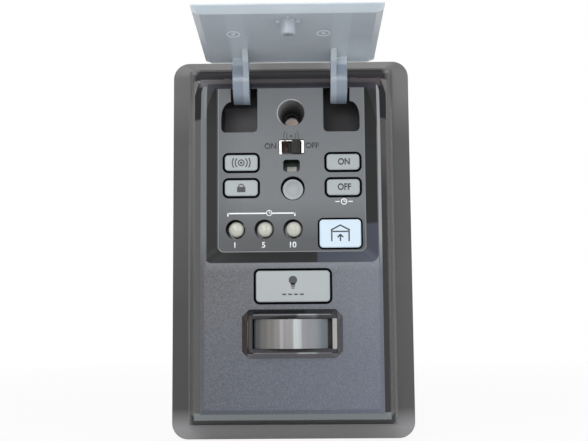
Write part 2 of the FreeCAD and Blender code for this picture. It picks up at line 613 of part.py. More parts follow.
pocket(cover, neck, "keyhole_neck_cut", "cover_thickness + 0.4")
node(cover, "rear_cover")

# Main board with clear holes for the screws
board = new_body("main_board")
sheet = front_sketch(board, "board_outline", "board_back")
rectangle(sheet, "board_half", "board_bottom", "board_top")
pad(board, sheet, "board_sheet", "board_thickness")
drill = front_sketch(board, "board_holes", BOARD_FRONT + " + 0.2")
for side in ("", "-"):
    for z in ("case_screw_top", "case_screw_low"):
        circle(drill, side + "case_screw_x", z, "case_screw_radius + 0.15")
pocket(board, drill, "drillings", "board_thickness + 0.4")
node(board, "main_board")

# Four case screws
screws = []
for side in ("", "-"):
    for z in ("case_screw_top", "case_screw_low"):
        k = len(screws)
        x = side + "case_screw_x"
        shank = disc("screw_shank_%d" % k, "case_screw_radius", x, z, "board_back - 2.05", "floor_depth - wall - 1.6")
        head = disc("screw_head_%d" % k, "case_screw_head", x, z, "board_back - 4", "board_back - 2")
        drive = disc("screw_drive_%d" % k, "case_screw_head * 0.42", x, z, "board_back - 4.1", "board_back - 3")
        screws.append(cut("case_screw_%d" % k, fuse("case_screw_body_%d" % k, [shank, head]), [drive]))
node(group("case_screws", screws), "case_screws")


# Buttons with a lip behind the face and a stem down to their switch
def button(name, x, z, width, height, face, back, corner="cap_corner"):
    body = new_body(name)
    cap = front_sketch(body, name + "_cap", back + " - lift - lip_thickness / 2")
    rounded(cap, x, z, width, height, corner)
    pad(body, cap, name + "_head", "%s + cap_rise - (%s) + lift + lip_thickness / 2" % (face, back))
    lip = front_sketch(body, name + "_lip", back + " - lift - lip_thickness")
    rounded(lip, x, z, width + " + cap_lip * 2 + cap_gap", height + " + cap_lip * 2 + cap_gap", corner)
    pad(body, lip, name + "_stop", "lip_thickness")
    stem = front_sketch(body, name + "_stem", BOARD_FRONT + " + tact_height + plunger_rise")
    circle(stem, x, z, "stem_radius")
    pad(body, stem, name + "_push",
        back + " - lift - lip_thickness + 0.2 - (" + BOARD_FRONT + " + tact_height + plunger_rise)")
    doc.recompute()
    rims = []
    front = -val(face + " + cap_rise")
    for index, item in enumerate(body.Tip.Shape.Edges):
        box = item.BoundBox
        if abs(box.YMin - front) < 0.001 and abs(box.YMax - front) < 0.001:
            rims.append("Edge%d" % (index + 1))
    whole = body.Tip
    soft = body.newObject("PartDesign::Fillet", name + "_soft")
    soft.Base = (whole, rims)
    bind(soft, "Radius", "cap_corner / 3")
    node(body, name)


button("learn_button", "left_x", "upper_z", "small_width", "small_height", "floor_depth", FLOOR_BACK)
button("lock_button", "left_x", "lower_z", "small_width", "small_height", "floor_depth", FLOOR_BACK)
button("timer_on_button", "right_x", "upper_z", "small_width", "small_height", "floor_depth", FLOOR_BACK)
button("timer_off_button", "right_x", "lower_z", "small_width", "small_height", "floor_depth", FLOOR_BACK)
button("hold_open_button", "hold_x", "hold_z", "hold_width", "hold_height", "floor_depth", FLOOR_BACK)
button("light_button", "light_x", "light_z", "light_width", "light_height", "face_depth", "plate_back")

LOW_TOP = BOARD_FRONT + " + tact_low + plunger_rise_low"
door_cap = disc("door_cap", "door_radius", "door_x", "door_z", "door_guide - lift - 0.4", "door_top")
door_lip = disc("door_lip", "door_hole + 0.9", "door_x", "door_z", "door_guide - lift - 0.8", "door_guide - lift")
door_stem = disc("door_stem", "stem_radius", "door_x", "door_z", LOW_TOP, "door_guide - lift - 0.6")
node(fuse("door_button", [door_cap, door_lip, door_stem]), "door_button")

# Tact switches under the buttons
PLACES = [("learn", "left_x", "upper_z"), ("lock", "left_x", "lower_z"), ("timer_on", "right_x", "upper_z"),
          ("timer_off", "right_x", "lower_z"), ("hold_open", "hold_x", "hold_z"),
          ("light", "light_x", "light_z"), ("door", "door_x", "door_z")]
for name, x, z in PLACES:
    height, rise = "tact_height", "plunger_rise"
    if name == "door":
        height, rise = "tact_low", "plunger_rise_low"
    top = BOARD_FRONT + " + " + height
    shell = block(name + "_shell", "tact_size", "tact_size", x, z, BOARD_FRONT, top)
    well = disc(name + "_well", "plunger_radius + plunger_gap", x, z, top + " - plunger_sunk - press", top + " + 0.2")
    node(cut(name + "_switch", shell, [well]), name + "_switch")
    plunger = disc(name + "_plunger", "plunger_radius", x, z, top + " - plunger_sunk + 0.2", top + " + " + rise)
    node(plunger, name + "_plunger")

# Minute lights: dome on a cylinder with a rim and two legs
for count, x in (("1", "lamp_1_x"), ("5", "lamp_5_x"), ("10", "lamp_10_x")):
    tag = "lamp_%s_" % count
    seat = BOARD_FRONT + " + 1.4"
    column = disc(tag + "column", "lamp_radius", x, "lamp_z", seat, "lamp_top - lamp_radius")
    foot = disc(tag + "foot", "lamp_rim", x, "lamp_z", seat, seat + " + 1")
    dome = doc.addObject("Part::Sphere", tag + "dome")
    bind(dome, "Radius", "lamp_radius")
    bind(dome, "Placement.Base.x", x)
    bind(dome, "Placement.Base.y", "-(lamp_top - lamp_radius)")
    bind(dome, "Placement.Base.z", "lamp_z")
    legs = []
    for k, shift in enumerate((" - 1.27", " + 1.27")):
        legs.append(block(tag + "leg_%d" % k, "0.5 * wall / wall", "0.5 * wall / wall", x + shift, "lamp_z",
                          BOARD_FRONT, seat + " + 0.3"))
    node(fuse(tag + "whole", [column, foot, dome] + legs), "minute_light_" + count)

# Status light: small chip light with a round window, seen through its slot
chip_body = block("status_body", "chip_width", "chip_height", "status_x", "status_z - 0.2", BOARD_FRONT,
                  BOARD_FRONT + " + 1.9")
chip_window = disc("status_window", "chip_height * 0.42", "status_x", "status_z - 0.2", BOARD_FRONT + " + 1.5",
                   BOARD_FRONT + " + 2")
node(cut("status_whole", chip_body, [chip_window]), "status_light")

# Lamps beside the switches of the two lit buttons
node(block("hold_lamp", "2 * wall / 2", "2 * wall / 2", "hold_x - 5.5", "hold_z", BOARD_FRONT,
           BOARD_FRONT + " + 0.9"), "hold_open_lamp")
node(block("light_lamp", "2 * wall / 2", "2 * wall / 2", "light_x - 8", "light_z", BOARD_FRONT,
           BOARD_FRONT + " + 0.9"), "light_lamp")

# Sensor slide switch
SWITCH_TOP = "(floor_depth - 0.7)"
frame_box = block("frame_box", "switch_width - 0.3", "switch_height - 0.3", "switch_x", "switch_z",
                  BOARD_FRONT + " + 3", SWITCH_TOP)
frame_hole = block("frame_hole", "switch_width - 1.7", "switch_height - 0.8", "switch_x", "switch_z",
                   BOARD_FRONT + " + 2.8", SWITCH_TOP + " + 1")
node(cut("switch_frame", frame_box, [frame_hole]), "sensor_switch_frame")
base = block("base_box", "switch_width + 1", "switch_height + 1", "switch_x", "switch_z", BOARD_FRONT,
             BOARD_FRONT + " + 2.95")
track = block("base_track", "switch_width - 1.1", "switch_height - 2", "switch_x", "switch_z",
              BOARD_FRONT + " + 2", BOARD_FRONT + " + 4")
node(cut("switch_base", base, [track]), "sensor_switch_base")
slide = block("slide_plate", "slider_right - slider_left", "switch_height - 1.4",
              "(slider_right + slider_left) / 2", "switch_z", BOARD_FRONT + " + 3.05", "floor_depth - 2")
grip = block("slide_grip", "knob_width", "knob_height - 0.3", "knob_x", "switch_z", "floor_depth - 2.2",
             "floor_depth - 0.5")
head = block("slide_head", "knob_width", "knob_height + 0.5", "knob_x", "switch_z", "floor_depth - 0.55",
             "floor_depth + 0.9")
notches = []
for k in range(3):
    notches.append(block("slide_notch_%d" % k, "knob_width * 0.12", "knob_height + 1",
                         "knob_x + knob_width * 0.27 * (%d)" % (k - 1), "switch_z", "floor_depth + 0.5",
                         "floor_depth + 1"))
node(cut("slide_whole", fuse("slide_body", [slide, grip, head]), notches), "sensor_switch_knob")

# Motion sensor: ridge frame, arched lens, can and its window
bezel = new_body("sensor_bezel")


def octagon(sketch, width, height, clip):
    w, h = "(%s) / 2" % width, "(%s) / 2" % height
    spots = [("-" + w + " + " + clip, "-" + h), (w + " - " + clip, "-" + h), (w, "-" + h + " + " + clip),
             (w, h + " - " + clip), (w + " - " + clip, h), ("-" + w + " + " + clip, h),
             ("-" + w, h + " - " + clip), ("-" + w, "-" + h + " + " + clip)]
    polygon(sketch, [("sensor_x + (" + x + ")", "sensor_z + (" + z + ")") for x, z in spots])


outer = front_sketch(bezel, "bezel_outer", "face_depth")
octagon(outer, "bezel_width", "bezel_height", "bezel_cut")
ridge = front_sketch(bezel, "bezel_ridge", "face_depth + bezel_rise")
octagon(ridge, "ridge_width", "ridge_height", "bezel_cut")
loft(bezel, "bezel_frame", [outer, ridge], "AdditiveLoft")
spigot = front_sketch(bezel, "bezel_spigot", "plate_back")
rounded(spigot, "sensor_x", "sensor_z", "window_width + 1.7", "window_height + 1.7", "cap_corner")
pad(bezel, spigot, "spigot", "face_depth - plate_back + 0.2")
sill_low = front_sketch(bezel, "sill_low", "face_depth + window_set")
rectangle_w, rectangle_h = "window_width / 2", "window_height / 2"
polygon(sill_low, [("sensor_x - " + rectangle_w, "sensor_z - " + rectangle_h),
                   ("sensor_x + " + rectangle_w, "sensor_z - " + rectangle_h),
                   ("sensor_x + " + rectangle_w, "sensor_z + " + rectangle_h),
                   ("sensor_x - " + rectangle_w, "sensor_z + " + rectangle_h)])
sill_high = front_sketch(bezel, "sill_high", "face_depth + bezel_rise + 0.01")
W2, H2 = "(ridge_width - 0.5) / 2", "(ridge_height - 0.5) / 2"
polygon(sill_high, [("sensor_x - " + W2, "sensor_z - " + H2), ("sensor_x + " + W2, "sensor_z - " + H2),
                    ("sensor_x + " + W2, "sensor_z + " + H2), ("sensor_x - " + W2, "sensor_z + " + H2)])
loft(bezel, "sill", [sill_low, sill_high], "SubtractiveLoft")
through = front_sketch(bezel, "bezel_window", "face_depth + bezel_rise")
polygon(through, [("sensor_x - " + rectangle_w, "sensor_z - " + rectangle_h),
                  ("sensor_x + " + rectangle_w, "sensor_z - " + rectangle_h),
                  ("sensor_x + " + rectangle_w, "sensor_z + " + rectangle_h),
                  ("sensor_x - " + rectangle_w, "sensor_z + " + rectangle_h)])
pocket(bezel, through, "window_hole", "face_depth + bezel_rise - plate_back + 0.5")
node(bezel, "sensor_bezel")


def pillar(name, radius):
    """Upright cylinder whose front lies at the lens crown."""
    thing = doc.addObject("Part::Cylinder", name)
    bind(thing, "Radius", radius)
    bind(thing, "Height", "window_height - 0.2")
    bind(thing, "Placement.Base.x", "sensor_x")
    bind(thing, "Placement.Base.y", "-(face_depth + bezel_rise + 0.2 - lens_radius)")
    bind(thing, "Placement.Base.z", "sensor_z - window_height / 2 + 0.1")
    return thing


lens_bound = block("lens_bound", "lens_width", "window_height + 2", "sensor_x - 0.5", "sensor_z",
                   "plate_back", "face_depth + bezel_rise + 1")
sheet_arc = cut("lens_sheet", pillar("lens_outer", "lens_radius"),
                [pillar("lens_inner", "lens_radius - lens_thickness")])
lens = doc.addObject("Part::Common", "lens_cut")
lens.Base = sheet_arc
lens.Tool = lens_bound
node(lens, "sensor_lens")
CAN_TOP = BOARD_FRONT + " + can_height"
can = disc("can_body", "can_radius", "sensor_x", "sensor_z", BOARD_FRONT + " + 0.9", CAN_TOP)
can_rim = disc("can_rim", "can_radius + 0.5", "sensor_x", "sensor_z", BOARD_FRONT, BOARD_FRONT + " + 1")
can_hole = block("can_hole", "can_radius * 0.9", "can_radius * 0.75", "sensor_x", "sensor_z",
                 CAN_TOP + " - 0.5", CAN_TOP + " + 0.2")
node(cut("can_whole", fuse("can_metal", [can, can_rim]), [can_hole]), "sensor_can")
node(block("can_window", "can_radius * 0.9", "can_radius * 0.75", "sensor_x", "sensor_z",
           CAN_TOP + " - 0.5", CAN_TOP + " - 0.05"), "sensor_filter")

# Terminals behind the board
TERM_BACK = "(board_back - block_depth)"
shell = block("term_shell", "block_width", "block_height", "block_x", "block_z", TERM_BACK, "board_back")
tools = []
screws = []
plates = []
for k, shift in enumerate(("block_x - term_pitch / 2", "block_x + term_pitch / 2")):
    tools.append(block("term_slot_%d" % k, "term_pitch - 0.9", "block_height - 2", shift, "block_z",
                       TERM_BACK + " - 0.2", TERM_BACK + " + 2.2"))
    tools.append(disc("term_bore_%d" % k, "term_radius * 0.6 + 0.05", shift, "block_z", TERM_BACK + " + 2",
                      "board_back - 0.6"))
    plate = block("term_plate_body_%d" % k, "term_pitch - 1.1", "block_height - 2.4", shift, "block_z",
                  TERM_BACK + " + 1.3", TERM_BACK + " + 2.1")
    plate_hole = disc("term_plate_hole_%d" % k, "term_radius * 0.6 + 0.1", shift, "block_z", TERM_BACK + " + 1",
                      TERM_BACK + " + 3")
    plates.append(cut("term_plate_%d" % k, plate, [plate_hole]))
    shank = disc("term_shank_%d" % k, "term_radius * 0.6", shift, "block_z", TERM_BACK + " + 1.2",
                 "board_back - 1")
    head = disc("term_head_%d" % k, "term_radius", shift, "block_z", TERM_BACK + " + 0.2", TERM_BACK + " + 1.25")
    slot = block("term_drive_%d" % k, "term_radius * 2 + 1", "0.5 * wall / wall", shift, "block_z",
                 TERM_BACK, TERM_BACK + " + 0.7")
    screws.append(cut("term_screw_%d" % k, fuse("term_screw_body_%d" % k, [shank, head]), [slot]))
node(cut("term_block", shell, tools), "terminal_block")
node(group("term_screws", screws), "terminal_screws")
node(group("term_plates", plates), "terminal_plates")

# Other parts of the board
node(block("chip", "9 * wall / wall", "9 * wall / wall", "block_x - 18", "sensor_z + 4", BOARD_FRONT,
           BOARD_FRONT + " + 1.5"), "microcontroller")
node(disc("storage", "2.6 * wall / wall", "block_x + 21", "sensor_z - 4", BOARD_FRONT,
          BOARD_FRONT + " + 6.5"), "capacitor")

doc.recompute()
broken = [thing.Name for thing in doc.Objects if "Invalid" in thing.State or "Error" in thing.State]
if broken:
    raise RuntimeError("broken: " + ", ".join(broken))
for thing, name in NODES:
    if thing.Shape.isNull() or not thing.Shape.isValid():
        raise RuntimeError("bad shape: " + name)
for thing, name in NODES:
    thing.Shape.exportStep("parts/" + name + ".step")
    print(name, len(thing.Shape.Solids), round(thing.Shape.Volume, 1))
print("nodes", len(NODES))
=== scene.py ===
"""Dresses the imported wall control: finishes for every part, printed marks, lamps and the stage."""
import json
import math
from collections import namedtuple
from types import SimpleNamespace

import bpy
from bpy.props import FloatProperty, FloatVectorProperty, PointerProperty
from mathutils import Matrix, Vector


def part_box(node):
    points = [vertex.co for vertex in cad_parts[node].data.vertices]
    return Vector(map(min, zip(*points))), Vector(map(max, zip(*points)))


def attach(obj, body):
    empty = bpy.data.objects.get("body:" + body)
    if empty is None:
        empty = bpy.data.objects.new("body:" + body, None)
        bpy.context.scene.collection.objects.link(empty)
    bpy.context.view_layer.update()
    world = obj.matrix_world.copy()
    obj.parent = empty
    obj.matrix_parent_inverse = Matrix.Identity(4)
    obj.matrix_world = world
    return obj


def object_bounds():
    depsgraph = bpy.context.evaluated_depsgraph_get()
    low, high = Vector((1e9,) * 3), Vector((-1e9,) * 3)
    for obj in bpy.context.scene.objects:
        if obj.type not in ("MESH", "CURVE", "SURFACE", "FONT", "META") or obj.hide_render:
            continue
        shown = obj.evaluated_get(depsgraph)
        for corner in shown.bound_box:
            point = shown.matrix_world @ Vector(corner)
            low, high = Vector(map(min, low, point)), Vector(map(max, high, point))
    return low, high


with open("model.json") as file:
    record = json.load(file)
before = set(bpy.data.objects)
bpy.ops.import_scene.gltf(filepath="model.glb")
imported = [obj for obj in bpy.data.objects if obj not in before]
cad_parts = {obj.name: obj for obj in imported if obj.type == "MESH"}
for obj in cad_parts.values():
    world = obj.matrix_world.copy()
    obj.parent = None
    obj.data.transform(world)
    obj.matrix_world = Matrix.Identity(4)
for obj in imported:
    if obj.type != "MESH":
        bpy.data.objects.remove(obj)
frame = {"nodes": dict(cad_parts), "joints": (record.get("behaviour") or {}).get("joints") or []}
CAD_BOX = [list(corner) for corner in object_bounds()]

bl_info = {
    "name": "Garage wall control finishes",
    "version": (1, 0, 0),
    "blender": (4, 5, 0),
    "location": "3D View > Sidebar > Wall control",
    "description": "Finishes, printed marks, lamps and stage for a garage door wall control",
    "category": "Object",
}

MM = 0.001
KEYS = ("learn", "lock", "timer_on", "timer_off", "hold_open", "light", "door")
MINUTES = ("1", "5", "10")
Place = namedtuple("Place", "x depth z")


def front_of(node):
    """Middle of a node's front in millimetres: across, depth from the wall, height."""
    low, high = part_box(node)
    return Place((low[0] + high[0]) / 2 / MM, -low[1] / MM, (low[2] + high[2]) / 2 / MM)


# Landmarks of the case in millimetres
FLANGE_DEPTH = 2.5
FLOOR_DEPTH = 20.6
FACE_DEPTH = front_of("front_housing").depth
SCREW_X, SCREW_Z = 0.3, 45.8
SENSOR = front_of("sensor_bezel")

# Fine grain of moulded plastic: noise scale, and height in metres
GRAIN_SCALE = 2600.0
GRAIN_HEIGHT = 0.00002


# Sizes and colours that a user would change
class CaseSettings(bpy.types.PropertyGroup):
    body_colour: FloatVectorProperty(
        name="Case colour", description="Flange and sides of the case", subtype="COLOR", size=3,
        min=0, max=1, default=(0.115, 0.115, 0.118))
    floor_colour: FloatVectorProperty(
        name="Recess colour", description="Matt floor of the recess", subtype="COLOR", size=3,
        min=0, max=1, default=(0.165, 0.175, 0.185))
    plate_colour: FloatVectorProperty(
        name="Face colour", description="Fine grained face below the recess", subtype="COLOR", size=3,
        min=0, max=1, default=(0.125, 0.138, 0.168))
    grain: FloatProperty(
        name="Grain", description="Height of the moulded grain", default=0.00004, min=0, unit="LENGTH")


class BarSettings(bpy.types.PropertyGroup):
    colour: FloatVectorProperty(
        name="Bar colour", description="Smoky plastic of the push bar", subtype="COLOR", size=3,
        min=0, max=1, default=(0.50, 0.55, 0.60))
    ring_radius: FloatProperty(
        name="Ring radius", description="Radius of the two round marks under the bar",
        default=0.0023, min=0.001, unit="LENGTH")


class KeySettings(bpy.types.PropertyGroup):
    colour: FloatVectorProperty(
        name="Button colour", description="Small gray buttons", subtype="COLOR", size=3,
        min=0, max=1, default=(0.345, 0.378, 0.388))
    lit_colour: FloatVectorProperty(
        name="Lit button colour", description="Hold-open button lit from behind", subtype="COLOR", size=3,
        min=0, max=1, default=(0.49, 0.59, 0.68))
    mark_height: FloatProperty(
        name="Mark height", description="How far printed marks stand proud",
        default=0.00005, min=0.00001, unit="LENGTH")
    mark_colour: FloatVectorProperty(
        name="Mark colour", description="White print on the case", subtype="COLOR", size=3,
        min=0, max=1, default=(0.86, 0.87, 0.88))


class StageSettings(bpy.types.PropertyGroup):
    view_distance: FloatProperty(
        name="View distance", description="Camera distance in front of the wall",
        default=0.32361, min=0.1, unit="LENGTH")
    focal: FloatProperty(
        name="Focal length", description="Camera lens on a 36 mm sensor", default=53.62, min=10)


# Shader maths
class Signal:
    """An output socket of a node tree; sums and products of signals add Math nodes."""

    def __init__(self, nodes, socket):
        self.nodes = nodes
        self.socket = socket

    def math(self, operation, *others, clamp=False):
        return self.nodes.node("ShaderNodeMath", {"operation": operation, "use_clamp": clamp},
                               dict(enumerate((self,) + others)))

    def __add__(self, other):
        return self.math("ADD", other)

    def __sub__(self, other):
        return self.math("SUBTRACT", other)

    def __mul__(self, other):
        return self.math("MULTIPLY", other)

    def __pow__(self, other):
        return self.math("POWER", other)

    def __truediv__(self, other):
        return self.math("DIVIDE", other)

    def __rsub__(self, other):
        return self.nodes.node("ShaderNodeMath", {"operation": "SUBTRACT"}, {0: other, 1: self})

    __radd__ = __add__
    __rmul__ = __mul__

    def size(self):
        return self.math("ABSOLUTE")

    def over(self, edge, soft):
        """0 below the edge and 1 above it, with a soft step."""
        return ((self - edge) / soft).math("ADD", 0.5, clamp=True)

    def under(self, edge, soft):
        return ((edge - self) / soft).math("ADD", 0.5, clamp=True)

    def between(self, low, high, soft):
        return self.over(low, soft) * self.under(high, soft)


def past_corner(across, along):
    """How far a point lies past the straight sides of a rounded outline."""
    return (across.math("MAXIMUM", 0.0) ** 2 + along.math("MAXIMUM", 0.0) ** 2) ** 0.5


class Nodes:
    """A node tree and the method that adds its nodes."""

    def __init__(self, tree):
        self.tree = tree

    def node(self, kind, settings=None, values=None, out=0):
        """Adds a node: its settings first, then the values or links of its sockets."""
        made = self.tree.nodes.new(kind)
        for key, value in (settings or {}).items():
            if key == "stops":
                ramp = made.color_ramp
                while len(ramp.elements) < len(value):
                    ramp.elements.new(0.5)
                for element, (place, colour) in zip(ramp.elements, value):
                    element.position = place
                    element.color = tuple(colour) + (1.0,)
            else:
                setattr(made, key, value)
        for key, value in (values or {}).items():
            socket = made.inputs[key]
            if isinstance(value, Signal):
                self.tree.links.new(value.socket, socket)
            elif socket.type == "RGBA":
                socket.default_value = tuple(value)[:3] + (1.0,)
            else:
                socket.default_value = value
        return Signal(self, made.outputs[out])

    def background_rays(self):
        """1 for rays that see the background: from the camera, off gloss or through glass."""
        camera, glossy, through = (
            self.node("ShaderNodeLightPath", out=name)
            for name in ("Is Camera Ray", "Is Glossy Ray", "Is Transmission Ray"))
        return camera.math("ADD", glossy.math("MAXIMUM", through), clamp=True)


class Finish(Nodes):
    """A material with one Principled shader and helpers that add nodes."""

    def __init__(self, name, **constants):
        self.material = bpy.data.materials.new(name)
        self.material.use_nodes = True
        super().__init__(self.material.node_tree)
        self.shader = self.tree.nodes["Principled BSDF"]
        for key, value in constants.items():
            socket = self.shader.inputs[key.replace("_", " ")]
            socket.default_value = tuple(value) + (1.0,) if isinstance(value, (tuple, list)) else value

    def place(self):
        """Object coordinates."""
        return self.node("ShaderNodeTexCoord", out="Object")

    def axes(self):
        """Position in millimetres: across, depth from the wall, height."""
        split = self.node("ShaderNodeSeparateXYZ", None, {"Vector": self.place()}).socket.node
        x, y, z = (Signal(self, socket) for socket in split.outputs)
        return x * 1000.0, y * -1000.0, z * 1000.0

    def noise(self, scale, detail=3.0, rough=0.5):
        return self.node("ShaderNodeTexNoise", None,
                         {"Vector": self.place(), "Scale": scale, "Detail": detail, "Roughness": rough})

    def mix(self, factor, first, second):
        return self.node("ShaderNodeMix", {"data_type": "RGBA"}, {0: factor, 6: first, 7: second}, out=2)

    def ramp(self, factor, *stops):
        return self.node("ShaderNodeValToRGB", {"stops": stops}, {0: factor})

    def bump(self, height, distance, normal=None):
        values = {"Height": height, "Distance": distance}
        if normal:
            values["Normal"] = normal
        return self.node("ShaderNodeBump", None, values)

    def soft_edges(self, radius):
        """Normals that round every sharp edge a little."""
        return self.node("ShaderNodeBevel", {"samples": 4}, {"Radius": radius})

    def feed(self, **links):
        """Links signals to inputs of the main shader."""
        for key, signal in links.items():
            self.tree.links.new(signal.socket, self.shader.inputs[key.replace("_", " ")])
        return self.material

    def cover(self, factor, kind, colour):
        """Lets a shader of another kind take over where the factor is 1."""
        main = Signal(self, self.shader.outputs[0])
        other = self.node(kind, None, {"Color": colour})
        blend = self.node("ShaderNodeMixShader", None, {0: factor, 1: main, 2: other})
        self.tree.links.new(blend.socket, self.tree.nodes["Material Output"].inputs["Surface"])

    def dull(self, factor, colour):
        """Lets a matt colour without gloss take over where the factor is 1."""
        self.cover(factor, "ShaderNodeBsdfDiffuse", colour)


def tint(colour, *factors):
    """Multiplies a colour by one factor, or by one for each channel."""
    if len(factors) == 1:
        factors = factors * 3
    return tuple(min(1.0, part * factor) for part, factor in zip(colour, factors))


def moulded(name, colour, rough, shift=0.06, **constants):
    """Plain moulded plastic: fine grain, slight colour drift."""
    finish = Finish(name, Roughness=rough, **constants)
    drift = finish.noise(38.0)
    fine = finish.noise(GRAIN_SCALE, 2.0)
    shade = finish.mix(drift, tint(colour, 1 - shift), tint(colour, 1 + shift))
    return finish.feed(Base_Color=shade, Roughness=fine * 0.14 + (rough - 0.07),
                       Normal=finish.bump(fine, GRAIN_HEIGHT))


def metal(name, colour, rough):
    """Plated or brushed metal with fine level lines."""
    finish = Finish(name, Metallic=1.0, Roughness=rough)
    stretch = (60.0, 60.0, 2400.0)
    lines = finish.node("ShaderNodeMapping", None, {"Vector": finish.place(), "Scale": stretch})
    brush = finish.node("ShaderNodeTexNoise", None, {"Vector": lines, "Scale": 1.0, "Detail": 2.0})
    shade = finish.mix(brush, tint(colour, 0.9), tint(colour, 1.08))
    return finish.feed(Base_Color=shade, Roughness=brush * 0.2 + (rough - 0.1),
                       Normal=finish.bump(brush, 0.00001))


# Modelling helpers
def nothing_selected():
    if bpy.context.object and bpy.context.object.mode != "OBJECT":
        bpy.ops.object.mode_set(mode="OBJECT")
    bpy.ops.object.select_all(action="DESELECT")


def only(piece):
    nothing_selected()
    piece.select_set(True)
    bpy.context.view_layer.objects.active = piece


def joined(parts):
    nothing_selected()
    for part in parts:
        part.select_set(True)
    bpy.context.view_layer.objects.active = parts[0]
    if len(parts) > 1:
        bpy.ops.object.join()
    return bpy.context.view_layer.objects.active


def bar_at(x, z, width, height, depth, turn=0.0):
    """Flat bar facing the room, about (x, z) in mm."""
    nothing_selected()
    bpy.ops.mesh.primitive_plane_add(size=1.0, location=(0, 0, 0))
    piece = bpy.context.object
    piece.scale = (width * MM, height * MM, 1.0)
    piece.rotation_euler = (math.radians(90), 0, 0)
    bpy.ops.object.transform_apply(location=False, rotation=True, scale=True)
    piece.rotation_euler = (0, math.radians(-turn), 0)
    piece.location = (x * MM, -depth * MM, z * MM)
    bpy.ops.object.transform_apply(location=True, rotation=True, scale=True)
    return piece


def disc_at(x, z, radius, depth, hole=0.0):
    """Flat disc or ring facing the room."""
    nothing_selected()
    bpy.ops.mesh.primitive_circle_add(vertices=40, radius=radius * MM, fill_type="NGON",
                                      location=(x * MM, -depth * MM, z * MM),
                                      rotation=(math.radians(90), 0, 0))
    piece = bpy.context.object
    bpy.ops.object.transform_apply(location=True, rotation=True, scale=True)
    if hole > 0:
        bpy.ops.object.mode_set(mode="EDIT")
        bpy.ops.mesh.select_all(action="SELECT")
        bpy.ops.mesh.inset(thickness=(radius - hole) * MM, depth=0)
        bpy.ops.mesh.delete(type="FACE")
        bpy.ops.object.mode_set(mode="OBJECT")
    return piece


def arc_at(x, z, radius, width, depth, start, end):
    """Part of a ring from one angle to another in degrees, swept in short steps."""
    nothing_selected()
    bpy.ops.mesh.primitive_plane_add(size=1.0, location=(0, 0, 0))
    piece = bpy.context.object
    span = math.radians(end - start)
    piece.scale = (width * MM, 1e-6, 1.0)
    piece.location = (radius * MM, 0, 0)
    bpy.ops.object.transform_apply(location=True, rotation=True, scale=True)
    bpy.ops.object.mode_set(mode="EDIT")
    bpy.ops.mesh.select_all(action="SELECT")
    bpy.ops.mesh.delete(type="ONLY_FACE")
    bpy.ops.mesh.select_all(action="SELECT")
    bpy.ops.mesh.remove_doubles(threshold=0.00001)
    bpy.ops.mesh.select_all(action="SELECT")
    bpy.ops.mesh.spin(steps=12, angle=-span, center=(0, 0, 0), axis=(0, 0, 1))
    bpy.ops.object.mode_set(mode="OBJECT")
    piece.rotation_euler = (math.radians(90), 0, 0)
    bpy.ops.object.transform_apply(location=False, rotation=True, scale=False)
    piece.rotation_euler = (0, math.radians(-start), 0)
    piece.location = (x * MM, -depth * MM, z * MM)
    bpy.ops.object.transform_apply(location=True, rotation=True, scale=True)
    return piece


def word_at(text, x, z, height, depth, width=1.0):
    """Short generic marking, centred on (x, z)."""
    nothing_selected()
    bpy.ops.object.text_add(location=(0, 0, 0))
    piece = bpy.context.object
    piece.data.body = text
    piece.data.size = height * MM * 1.42
    piece.data.align_x = "CENTER"
    piece.data.align_y = "CENTER"
    piece.data.offset = 0.00007
    bpy.ops.object.convert(target="MESH")
    piece = bpy.context.object
    piece.scale = (width, 1, 1)
    piece.rotation_euler = (math.radians(90), 0, 0)
    piece.location = (x * MM, -depth * MM, z * MM)
    bpy.ops.object.transform_apply(location=True, rotation=True, scale=True)
    return piece


def raised(piece, height):
    """Gives a flat mark its thickness, toward the room."""
    only(piece)
    bpy.ops.object.mode_set(mode="EDIT")
    bpy.ops.mesh.select_all(action="SELECT")
    bpy.ops.mesh.remove_doubles(threshold=0.000002)
    bpy.ops.object.mode_set(mode="OBJECT")
    for face in piece.data.polygons:
        if face.normal.y > 0:
            face.flip()
    piece.data.update()
    wall = piece.modifiers.new("Thickness", "SOLIDIFY")
    wall.thickness = height
    wall.offset = 1.0
    bpy.ops.object.modifier_apply(modifier=wall.name)
    return piece


def settle(piece, name, body, material):
    """Names a finished piece, gives it its finish and hands it to its body."""
    only(piece)
    bpy.ops.object.transform_apply(location=True, rotation=True, scale=True)
    piece.name = name
    piece.data.name = name
    piece.data.materials.clear()
    piece.data.materials.append(material)
    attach(piece, body)


def mark(parts, height, name, body, slot, ink):
    """Joins flat parts into one raised mark and hands it to its body."""
    settle(raised(joined(parts), height), name, body, ink)


def dress(node, material):
    """Puts a finish on a CAD node."""
    for slot in frame["nodes"][node].material_slots:
        slot.material = material


